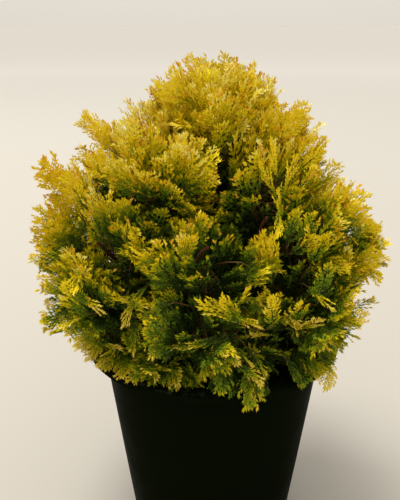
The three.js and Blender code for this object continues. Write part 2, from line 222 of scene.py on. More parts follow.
def ramp(tree, source, *stops):
    """A colour ramp with a stop for each (place, colour)."""
    node = tree.nodes.new("ShaderNodeValToRGB")
    elements = node.color_ramp.elements
    while len(elements) < len(stops):
        elements.new(0.5)
    for element, (place, colour) in zip(elements, stops):
        element.position = place
        element.color = linear(colour)
    fill(node, {"Fac": source})
    return node.outputs["Color"]


def new_material(name, colour, roughness, specular):
    """A material, its shader and its node tree."""
    material = bpy.data.materials.new(name)
    material.use_nodes = True
    tree = material.node_tree
    shader = tree.nodes["Principled BSDF"]
    fill(shader, {"Base Color": linear(colour), "Roughness": roughness, "Specular IOR Level": specular})
    return material, shader, tree


def on_object(tree):
    return add_node(tree, "TexCoord", {}, "Object")


# Height of the band at the rim's top edge that gets a painted highlight
RIM_HIGHLIGHT_BAND = 1.4 * MM


def black_plastic(settings):
    """Satin moulded polypropylene: dark, with faint mottling, dusty scuffs and fine upright rubbing, and a painted
    highlight along the rim's top edge.
    """
    material, shader, tree = new_material("black_plastic", settings.colour, 0.4, 0.07)
    place = on_object(tree)
    mottle = noise(tree, place, 38.0, 5.0, 0.6)
    upright = add_node(tree, "Mapping", {"Vector": place, "Scale": (150.0, 150.0, 14.0)})
    scuff = noise(tree, upright, 1.0, 4.0, 0.7)
    marks = add_node(tree, "Math", {0: scuff, 1: noise(tree, place, 9.0, 2.0)}, operation="MULTIPLY")
    height = add_node(tree, "SeparateXYZ", {"Vector": place}, "Z")
    # Painted highlight: the rim's top edge is pushed toward the pale tone, a light line along it; the scuffs and
    # marks elsewhere are real wear.
    edge = add_node(tree, "MapRange", {"Value": height, "From Min": POT_HEIGHT - RIM_HIGHLIGHT_BAND, "From Max": POT_HEIGHT,
                                       "To Max": 0.5})
    wear_and_rim_highlight = add_node(tree, "Math", {0: edge, 1: scuff, 2: marks}, operation="MULTIPLY_ADD")
    # The olive of the plastic and of its dust is partly a painted reflection of grass.
    dust_and_rim_highlight = ramp(tree, wear_and_rim_highlight, (0.43, settings.colour), (0.54, (16, 22, 7)), (0.7, (50, 54, 36)))
    gloss = ramp(tree, mottle, *((at, (grey, grey, grey, 1.0)) for at, grey in ((0.3, 0.36), (0.7, 0.52))))
    grain = noise(tree, place, 900.0, 2.0)
    fill(shader, {"IOR": 1.08, "Roughness": gloss, "Base Color": dust_and_rim_highlight, "Normal": bump(tree, grain, 0.12, 0.0004)})
    return material


def grained(name, colour, finish, grain, stops, relief=None, stretch=(1.0, 1.0, 1.0)):
    """A material whose colour, and relief where it has one, follow a fine grain, which may be stretched."""
    material, shader, tree = new_material(name, colour, *finish)
    place = on_object(tree)
    if stretch[2] != 1:
        place = add_node(tree, "Mapping", {"Vector": place, "Scale": stretch})
    tone = noise(tree, place, *grain)
    fill(shader, {"Base Color": ramp(tree, tone, *stops)})
    if relief:
        fill(shader, {"Normal": bump(tree, tone, *relief)})
    return material


def potting_mix_material(settings):
    """Damp peat and fine bark."""
    stops = (0.32, (14, 11, 8)), (0.55, settings.soil), (0.78, (62, 47, 32))
    return grained("damp_potting_mix", settings.soil, (0.9, 0.25), (260.0, 6.0, 0.7), stops, (0.7, 0.0015))


def bark_chips_with_painted_shade():
    # The ramp is darker than the chips' own colour (92, 62, 40): painted shade for the shade in the pot under the
    # foliage.
    stops = (0.3, (26, 18, 12)), (0.5, (46, 33, 23)), (0.75, (84, 62, 44))
    return grained("bark_chips", (92, 62, 40), (0.82, 0.3), (320.0, 4.0), stops)


def bark_material(settings):
    """Thin reddish brown bark in upright fibres."""
    stops = (0.3, (40, 23, 12)), (0.5, settings.bark), (0.72, (104, 68, 38))
    return grained("fibrous_bark", settings.bark, (0.85, 0.25), (420.0, 5.0, 0.65), stops, (0.6, 0.0008),
                   (1.0, 1.0, 0.16))


def twig_material():
    stops = (0.35, (74, 42, 22)), (0.65, (104, 78, 34))
    return grained("young_twig_bark", (70, 45, 18), (0.7, 0.25), (60.0, 2.0), stops)


FLOOR_SHADE_RADIUS = 7.0


def floor_material(settings):
    """A plain pale floor with painted shade: a little deeper in tone under the plant, where the key light's pool is
    strongest, which evens the floor out.
    """
    material, shader, tree = new_material("pale_floor", settings.floor_colour, 0.85, 0.1)
    away = add_node(tree, "VectorMath", {"Vector": on_object(tree)}, "Value", operation="LENGTH")
    # Painted shade: the floor darkens toward the plant within this radius.
    spread = add_node(tree, "MapRange", {"Value": away, "From Max": FLOOR_SHADE_RADIUS})
    fill(shader, {"Base Color": ramp(tree, spread, (0.0, (186, 181, 172)), (1.0, settings.floor_colour))})
    return material


# The crown's rule, the same as that of the solids, in millimetres and degrees

# Tiers of masses: name, count, radius, height over the rim, across, along, rise, turn, its boughs' height
TIERS = (
    ("skirt", 7, 86, 18, 43, 52, 0, -14, 8),
    ("lower", 8, 112, 76, 41, 56, 15, 40, 32),
    ("middle", 7, 94, 115, 52, 54, 26, 14, 64),
    ("upper", 5, 64, 163, 47, 53, 59, 94, None),
    ("crown", 3, 25, 211, 35, 44, 67, 36, None),
)
LEADER_PLACE, LEADER_HEIGHT, LEADER_ACROSS, LEADER_ALONG = (8, 18), 221, 38, 45
SEED = 77314
TURN_SPREAD, RADIUS_SPREAD, HEIGHT_SPREAD, SIZE_SPREAD = 0.14, 0.08, 12, 0.12
CORE_SHARE = 0.7
ENTRY_STANDOFF = 3
ROOT_DROP_AT_RIM, ROOT_DROP_ABOVE = 0.1, 1.2
TRUNK_TOP, TRUNK_LEAN = (7, 12, 402), (-5, 2)
TRUNK_BASE_RADIUS, TRUNK_TIP_RADIUS, TRUNK_TAPER = 10.5, 2.6, 1.6
ROOT_FLARE, ROOT_FLARE_HEIGHT = 5, 14
BOUGH_BASE_RADIUS, BOUGH_TIP_RADIUS, BOUGH_COLLAR = 4.6, 1.9, 2.4
BOUGH_RISE_STEP = 3
STEM_RADIUS, TWIG_RADIUS = 1.9, 1.1


def seeded(seed):
    """A repeatable stream of numbers from 0 to 1, and one of numbers from minus to plus a size."""
    state = seed & 0xFFFFFFFF

    def draw():
        nonlocal state
        state = (state + 0x6D2B79F5) & 0xFFFFFFFF
        mixed = ((state ^ (state >> 15)) * (state | 1)) & 0xFFFFFFFF
        mixed ^= (mixed + ((mixed ^ (mixed >> 7)) * (mixed | 61))) & 0xFFFFFFFF
        return ((mixed ^ (mixed >> 14)) & 0xFFFFFFFF) / 4294967296

    return draw, lambda size=1.0: size * (2 * draw() - 1)


def unit(vector):
    return vector / np.linalg.norm(vector, axis=-1, keepdims=True)


def direction_at(azimuth, rise):
    azimuth, rise = math.radians(azimuth), math.radians(rise)
    return np.array([math.cos(azimuth) * math.cos(rise), math.sin(azimuth) * math.cos(rise), math.sin(rise)])


def on_plant(azimuth, radius, height):
    """The point at an azimuth, a distance from the pot's middle and a height over its rim."""
    return direction_at(azimuth, 0) * radius + (POT_TOP_MM + height) * UP


def foliage_masses():
    """The places, sizes and directions of the masses of foliage."""
    _, swing = seeded(SEED)
    masses = []

    def add(name, tier, place, bough, outward, centre, axis, along, across):
        masses.append(SimpleNamespace(name=name, number=len(masses), tier=tier, place=place, bough=bough,
                                      outward=outward, centre=centre, axis=axis, along=along, across=across))

    for tier, count, radius, height, across, along, rise, turn, bough in TIERS:
        for k in range(count):
            azimuth = turn + 360 / count * (k + TURN_SPREAD * swing())
            away = radius * (1 + RADIUS_SPREAD * swing())
            centre = on_plant(azimuth, away, height + HEIGHT_SPREAD * swing())
            size = 1 + SIZE_SPREAD * swing()
            add(f"{tier}_{k + 1}", tier, k, bough, direction_at(azimuth, 0), centre, direction_at(azimuth, rise),
                along * size, across * size)
    middle = np.array([*LEADER_PLACE, 0.0])
    add("leader", "leader", 0, None, unit(middle), middle + (POT_TOP_MM + LEADER_HEIGHT) * UP, UP, LEADER_ALONG,
        LEADER_ACROSS)
    for mass in masses:
        mass.rest = [other for other in masses if other is not mass]
    return masses


def surface_reach(mass, direction):
    """How far a mass reaches from its centre along each direction."""
    lean = (direction @ mass.axis) ** 2
    return 1 / np.sqrt(lean / mass.along ** 2 + (1 - lean) / mass.across ** 2)


def plane_reach(mass, normal):
    """How far a plane that touches a mass lies from its centre."""
    lean = (normal @ mass.axis) ** 2
    return math.sqrt(lean * mass.along ** 2 + (1 - lean) * mass.across ** 2)


def wall_reach(mass, direction):
    """How far a mass may reach along a direction before it meets the walls between it and its neighbours."""
    reach = np.inf
    for other in mass.rest:
        apart = other.centre - mass.centre
        distance = np.linalg.norm(apart)
        normal = apart / distance
        facing = normal @ direction
        if facing > 0:
            own, far = plane_reach(mass, normal), plane_reach(other, normal)
            reach = min(reach, distance * own / (own + far) / facing)
    return reach


def depth_in(mass, points):
    """0 at the middle of a mass, 1 on its surface, more outside."""
    offset = points - mass.centre
    distance = np.linalg.norm(offset, axis=-1)
    return distance / surface_reach(mass, offset / np.maximum(distance, 1e-6)[..., None])


def spiral_directions(count, start):
    """Even directions all round, by a spiral from pole to pole."""
    k = np.arange(count)
    height = 1 - (2 * k + 1) / count
    radius = np.sqrt(1 - height ** 2)
    angle = start + math.pi * (3 - math.sqrt(5)) * k
    return np.stack([radius * np.cos(angle), radius * np.sin(angle), height], -1)


def root_drop(height):
    """How far below its tip a frond is rooted: fronds droop at the rim and stand up above."""
    share = (height - POT_TOP_MM) / LEADER_HEIGHT
    drop = ROOT_DROP_AT_RIM + (ROOT_DROP_ABOVE - ROOT_DROP_AT_RIM) * 3 * share
    return np.clip(drop, ROOT_DROP_AT_RIM, ROOT_DROP_ABOVE)


# Curves of the limbs

def bezier(points, share):
    """Points along a Bezier curve of any degree."""
    share = np.atleast_1d(share)[:, None]
    degree = len(points) - 1
    return sum(math.comb(degree, k) * share ** k * (1 - share) ** (degree - k) * np.asarray(p, float)
               for k, p in enumerate(points))


def through(line, count):
    """An even number of points on a smooth curve through a line of points."""
    line = np.array(line)
    run = np.concatenate([[0], np.cumsum(np.linalg.norm(np.diff(line, axis=0), axis=1))])
    slopes = np.gradient(line, run, axis=0)
    points = []
    for at in np.linspace(0, run[-1], count):
        k = min(np.searchsorted(run, at, side="right"), len(run) - 1) - 1
        size = run[k + 1] - run[k]
        t = (at - run[k]) / size
        points.append((2 * t ** 3 - 3 * t ** 2 + 1) * line[k] + (t ** 3 - 2 * t ** 2 + t) * size * slopes[k]
                      + (3 * t ** 2 - 2 * t ** 3) * line[k + 1] + (t ** 3 - t ** 2) * size * slopes[k + 1])
    return np.array(points)


def trunk_points(share):
    third = (TRUNK_TOP[2] - SOIL_TOP_MM) / 3
    return bezier([(0, 0, SOIL_TOP_MM), (0, 0, SOIL_TOP_MM + third), (*TRUNK_LEAN, SOIL_TOP_MM + 2 * third),
                   TRUNK_TOP], share)


def trunk_at_height(height):
    points = trunk_points(np.linspace(0, 1, 400))
    return points[np.argmin(abs(points[:, 2] - height))]


def entry_point(mass):
    """Where a bough ends and the mass's own stem goes on from it."""
    back = -mass.axis
    return mass.centre + back * (CORE_SHARE * surface_reach(mass, back) + ENTRY_STANDOFF)


def bough_points(mass, share):
    """Along a bough, from the trunk to where its mass's stem goes on."""
    level = (mass.place * 3) % 8
    start = trunk_at_height(SOIL_TOP_MM + mass.bough + BOUGH_RISE_STEP * level)
    end = entry_point(mass)
    length = np.linalg.norm(end - start)
    leaving = start + mass.outward * 0.35 * length + 0.16 * length * UP
    return bezier([start, leaving, end - mass.axis * 0.3 * length, end], share)


def stem_points(mass, share):
    """From the bough's tip, or from inside the trunk, to the middle of the mass."""
    if mass.bough:
        start = entry_point(mass)
    elif mass.tier == "leader":
        start = TRUNK_TOP
    else:
        start = trunk_at_height(mass.centre[2] - 0.8 * math.hypot(*mass.centre[:2]))
    return bezier([start, mass.centre], share)


def tube(points, radii, sides):
    """A closed tube of triangles round a line of points, twisted as little as can be: its points and faces."""
    tangents = unit(np.gradient(points, axis=0))
    cross = [unit(np.cross(tangents[0], (0.3, 0.9, 0.2)))]
    for tangent in tangents[1:]:
        cross.append(unit(cross[-1] - tangent * (cross[-1] @ tangent)))
    cross = np.array(cross)
    other = np.cross(tangents, cross)
    angle = np.arange(sides) * TAU / sides
    ring = cross[:, None] * np.cos(angle)[None, :, None] + other[:, None] * np.sin(angle)[None, :, None]
    skin = points[:, None] + ring * np.asarray(radii)[:, None, None]
    rings = len(points)
    i, j = (part.ravel() for part in np.meshgrid(np.arange(rings - 1), np.arange(sides), indexing="ij"))
    low, high, k = i * sides, (i + 1) * sides, (j + 1) % sides
    fan = np.arange(1, sides - 1)
    first, last = np.zeros_like(fan), (rings - 1) * sides
    faces = np.concatenate([
        np.stack([low + j, low + k, high + k], -1), np.stack([low + j, high + k, high + j], -1),
        np.stack([first, fan + 1, fan], -1), np.stack([first, fan, fan + 1], -1) + last])
    return skin.reshape(-1, 3), faces


def joined(parts):
    """Joins (points, faces) pairs into one."""
    starts = np.cumsum([0] + [len(points) for points, _ in parts])
    return (np.concatenate([points for points, _ in parts]),
            np.concatenate([faces + start for (_, faces), start in zip(parts, starts)]))


# Fronds of foliage, each of unit length until it is grown

FROND_KINDS, PLAIN_KINDS = 10, 4
FROND_SEED, PLAIN_SEED, PROUD_SEED = 1000, 2000, 3000
PLAIN_STEP, PLAIN_SIZE, PROUD_SIZE = 1.75, 1.35, 1.15
SPRIGS_A_SIDE, SPRAYS_A_SPRIG = 7, 3
SPRIG_FIRST, SPRIG_LAST, SPRIG_STAGGER = 0.08, 0.88, 0.022
SPRIG_LONGEST, SPRIG_SHORTEST, SPRIG_AT_TIP = 0.46, 0.09, 0.12
FINGER_STEP, FINGER_LENGTH, FINGER_WIDTH, FINGER_FOLD = 0.051, 0.132, 0.031, 0.4
TOOTH_SHARE, STALK_WIDTH, STALK_LENGTH = 0.55, 0.014, 0.3


def on_plane(angle):
    return np.array([math.cos(angle), math.sin(angle)])


def kite(base, angle, length, width, widest=0.38):
    """The corners of one leaflet on the frond's plane: base, right, tip, left."""
    ahead = on_plane(angle)
    aside = np.array([-ahead[1], ahead[0]])
    middle = base + ahead * widest * length
    return [base, middle - aside * width / 2, base + ahead * length, middle + aside * width / 2]


def frond_pattern(seed, step=1.0, size=1.0):
    """One flat frond: a stalk, sprigs to both sides of it, and forked fingers along the sprigs.

    Gives each leaflet's four corners on the plane and the number of its spray. Each sprig is three sprays,
    from its foot to its tip, and each spray has its own root and tip.
    """
    draw, swing = seeded(seed)
    corners, spray_of, roots, tips = [], [], [], []

    def add(leaflet, spray):
        corners.append(leaflet)
        spray_of.append(spray)

    def add_finger(base, angle, length, spray, lean):
        width = FINGER_WIDTH * size * (0.85 + 0.3 * draw())
        add(kite(base, angle, length, width), spray)
        fork = base + 0.25 * length * on_plane(angle)
        add(kite(fork, angle + lean * math.radians(26 + swing(8)), length * TOOTH_SHARE, width * 0.85), spray)

    def add_sprig(root, angle, length, side):
        bend = -side * (0.3 + swing(0.2)) * length / SPRIG_LONGEST
        count = max(3, round(length / (FINGER_STEP * step)))
        headings = [angle]
        for _ in range(count):
            headings.append(headings[-1] + bend / count)
        spine = [np.array(root)]
        for heading in headings[1:]:
            spine.append(spine[-1] + length / count * on_plane(heading))
        first = len(roots)
        cuts = [round(count * k / SPRAYS_A_SPRIG) for k in range(SPRAYS_A_SPRIG + 1)]
        roots.extend(spine[k] for k in cuts[:-1])
        tips.extend(spine[k] for k in cuts[1:])
        add(kite(spine[0], math.atan2(*(spine[-1] - spine[0])[::-1]), length, STALK_WIDTH, 0.3), first)
        for k in range(count):
            flank = 1 if k % 2 else -1
            longer = 1.12 if flank * side < 0 else 0.92
            share = (1 - 0.38 * k / count) * longer * (0.85 + 0.3 * draw())
            heading = headings[k + 1] + flank * math.radians(29 - 9 * k / count + swing(6))
            add_finger((spine[k] + spine[k + 1]) / 2, heading, FINGER_LENGTH * size * share,
                       first + k * SPRAYS_A_SPRIG // count, -flank)
        back = spine[-1] - 0.045 * on_plane(headings[-1])
        add_finger(back, headings[-1], FINGER_LENGTH * 0.8, len(roots) - 1, side or 1)

    curve = swing(0.1)
    for k in range(SPRIGS_A_SIDE):
        for side in (-1, 1):
            share = k / (SPRIGS_A_SIDE - 1)
            along = SPRIG_FIRST + (SPRIG_LAST - SPRIG_FIRST) * share + side * SPRIG_STAGGER
            swell = math.sin(math.pi * (0.25 + 0.68 * share)) ** 0.85
            length = SPRIG_LONGEST * swell * (0.82 + 0.36 * draw())
            spread = math.radians(48 - 19 * share + swing(6))
            add_sprig((along, curve * along ** 2), side * spread, max(length, SPRIG_SHORTEST), side)
    add_sprig((SPRIG_LAST, curve * SPRIG_LAST ** 2), 0.0, SPRIG_AT_TIP, 0)
    for k in range(3):
        low, high = STALK_LENGTH * k, STALK_LENGTH * (k + 1.15)
        add(kite(np.array([low, curve * low ** 2]), 2 * curve * low, high - low, STALK_WIDTH * (1.5 - 0.35 * k), 0.3),
            len(roots))
    roots.append(np.zeros(2))
    tips.append(np.array([0.5, 0.0]))
    return SimpleNamespace(corners=np.array(corners), spray=np.array(spray_of), roots=np.array(roots),
                           tips=np.array(tips))


# Where the fronds of a mass grow. A place on the plant is its azimuth, radius and height over the rim

TUFT_SEED, INNER_SEED, FREE_SEED, FRINGE_SEED, LIMB_SEED, COLLAR_SEED = 1, 501, 901, 1301, 1701, 2101

# The fronds of a tuft: angle in the fan, share of its reach, lean outward
TUFT_FRONDS = ((-44, 0.74, 0), (-24, 0.92, 0.1), (-4, 1.0, -0.1), (17, 0.97, 0.08), (40, 0.78, -0.05),
               (-32, 0.7, 0.34), (6, 0.82, 0.42), (27, 0.68, 0.3))
CORE_DRAWS = 20
SPRAYS_ROUND, SPRAY_TILT, SPRAY_REACH, SPRAY_ROOT_SHARE = 14, 35, 1.2, 0.62
INWARD_LIMIT, WALL_STRETCH = -0.35, 1.25
VISUAL_REACH = dict(skirt=0.9, lower=0.93, middle=0.93, upper=0.9, crown=0.84, leader=0.86)
REACH_TRIM = dict(skirt_1=0.8, lower_4=0.92, lower_8=0.86, middle_1=0.94, upper_5=0.94, crown_1=0.82, crown_2=0.86,
                  leader=0.96)
UPWARD = dict(skirt=0.0, lower=0.0, middle=0.1, upper=0.3, crown=0.8, leader=0.8)
DROOPING = 0.7

# How far the fronds of each kind swing to both sides of their rule, in degrees, millimetres or shares
TUFT = SimpleNamespace(angle=8, lean=0.16, reach=0.06, length=0.14, turn=30, curl=0.16)
INNER = SimpleNamespace(aside=0.25, turn=50, curl=0.1)
LIMB = SimpleNamespace(around=1.0, rise=0.35, ahead=0.4, turn=50, length=0.15, curl=0.1)
HEART = SimpleNamespace(height=14, rise=0.8, outward=0.3, turn=30, curl=0.1)
FREE = SimpleNamespace(aside=0.3, reach=0.05, growth=0.25, length=0.12, turn=75, curl=0.2, spread=0.1)
COLLAR = SimpleNamespace(place=0.3, azimuth=20, rise=8, radius=5, height=9, turn=50, length=0.1, curl=0.12)
FRINGE = SimpleNamespace(place=0.35, azimuth=16, rise=9, radius=6, height=4, length=0.1, turn=38, curl=0.12)

# How deep in another mass a frond's tip may lie, where 1 is its surface
TUFT_CLEAR, INNER_CLEAR, FREE_CLEAR = 0.8, 0.6, 0.92

INNER_BACK = -0.7
LIMB_FRONDS, HEART_FRONDS, HEART_FALL = 7, 6, 20
FREE_FRONDS = dict(skirt=10, lower=12, middle=9, upper=7, crown=6, leader=6)
FREE_TRIM = dict(lower_8=0.82)
FREE_BACK, FREE_UNDER = 0.1, -0.75

# Collars between the tiers: degrees to each side, gold, then rings of radius, height, rise and count
COLLARS = dict(
    upper=(36, 0.1, ((50, 166, 68, 5), (38, 186, 76, 4))),
    lower=(22, -0.1, ((118, 44, 24, 5), (104, 60, 35, 3))),
    crown=(60, 0.06, ((60, 196, 66, 7), (53, 210, 74, 7), (43, 224, 78, 6), (31, 236, 80, 4))))

# The fringe on the rim: degrees to each side, then rings of radius, rise, height and count
FRINGE_SPREAD, FRINGE_RINGS = 30, ((66, 4, 12, 9), (54, -2, 4, 7))

# Fronds that hang over the rim: place, heading, rise, size, curl, turn, gold. Each has one to either side
HANGERS = dict(
    skirt_5=(
        (184, 102, 18, 228, -4, 0.78, -0.2, 15, 0.22), (196, 100, 16, 230, -2, 0.8, -0.15, -10, 0.2),
        (206, 100, 14, 238, 0, 0.76, -0.12, 15, 0.1), (215, 98, 13, 248, 0, 0.74, -0.12, 0, 0),
        (224, 96, 12, 254, 0, 0.76, -0.12, 15, 0.05),
    ),
    skirt_6=(
        (234, 88, 12, 250, 2, 0.8, -0.15, -10, 0.05), (250, 80, 14, 256, -4, 0.8, -0.2, 10, 0),
        (264, 82, 14, 268, -6, 0.74, -0.12, 14, 0),
    ),
    skirt_7=(
        (277, 94, 16, 276, 2, 0.6, -0.42, 0, -0.12), (296, 95, 15, 293, 2, 0.7, -0.36, -12, -0.16),
        (306, 96, 15, 300, 2, 0.72, -0.3, 10, -0.18),
    ),
    skirt_1=(
        (317, 97, 14, 298, 2, 0.74, -0.25, 0, -0.12), (327, 98, 14, 292, 0, 0.76, -0.15, 12, -0.05),
        (336, 98, 15, 294, 0, 0.74, -0.12, -12, 0), (347, 100, 17, 300, -2, 0.72, -0.15, 10, 0.05),
    ),
)
HANGER_FRONDS = ((0, 1.0), (-15, 0.82), (14, 0.86))

# Leading shoots: azimuth, rise, length, rise of the spray, turn, gold. Its fronds: share of the way, aside, size
SHOOTS = dict(
    upper_2=((185, 28, 60, 42, 80, 0.05), (150, 66, 40, 68, 70, 0.05)),
    middle_4=((180, 20, 66, 32, 80, 0.1), (200, 62, 48, 62, 60, 0.05)),
    middle_7=((345, 26, 46, 50, 80, 0.05),),
    lower_5=((215, 2, 37, -30, 40, 0.0),),
    skirt_7=((275, -8, 48, -60, 0, 0.2),),
    skirt_1=((322, 0, 27, -35, 10, 0.0),),
    lower_4=((182, 42, 44, 50, 70, 0.0),),
    upper_5=((5, 58, 32, 64, 75, 0.05),))
SHOOT_FRONDS = ((0.8, 0, 0.86), (0.7, 24, 0.72), (0.62, -28, 0.72), (0.5, 12, 0.8), (0.4, -18, 0.85))

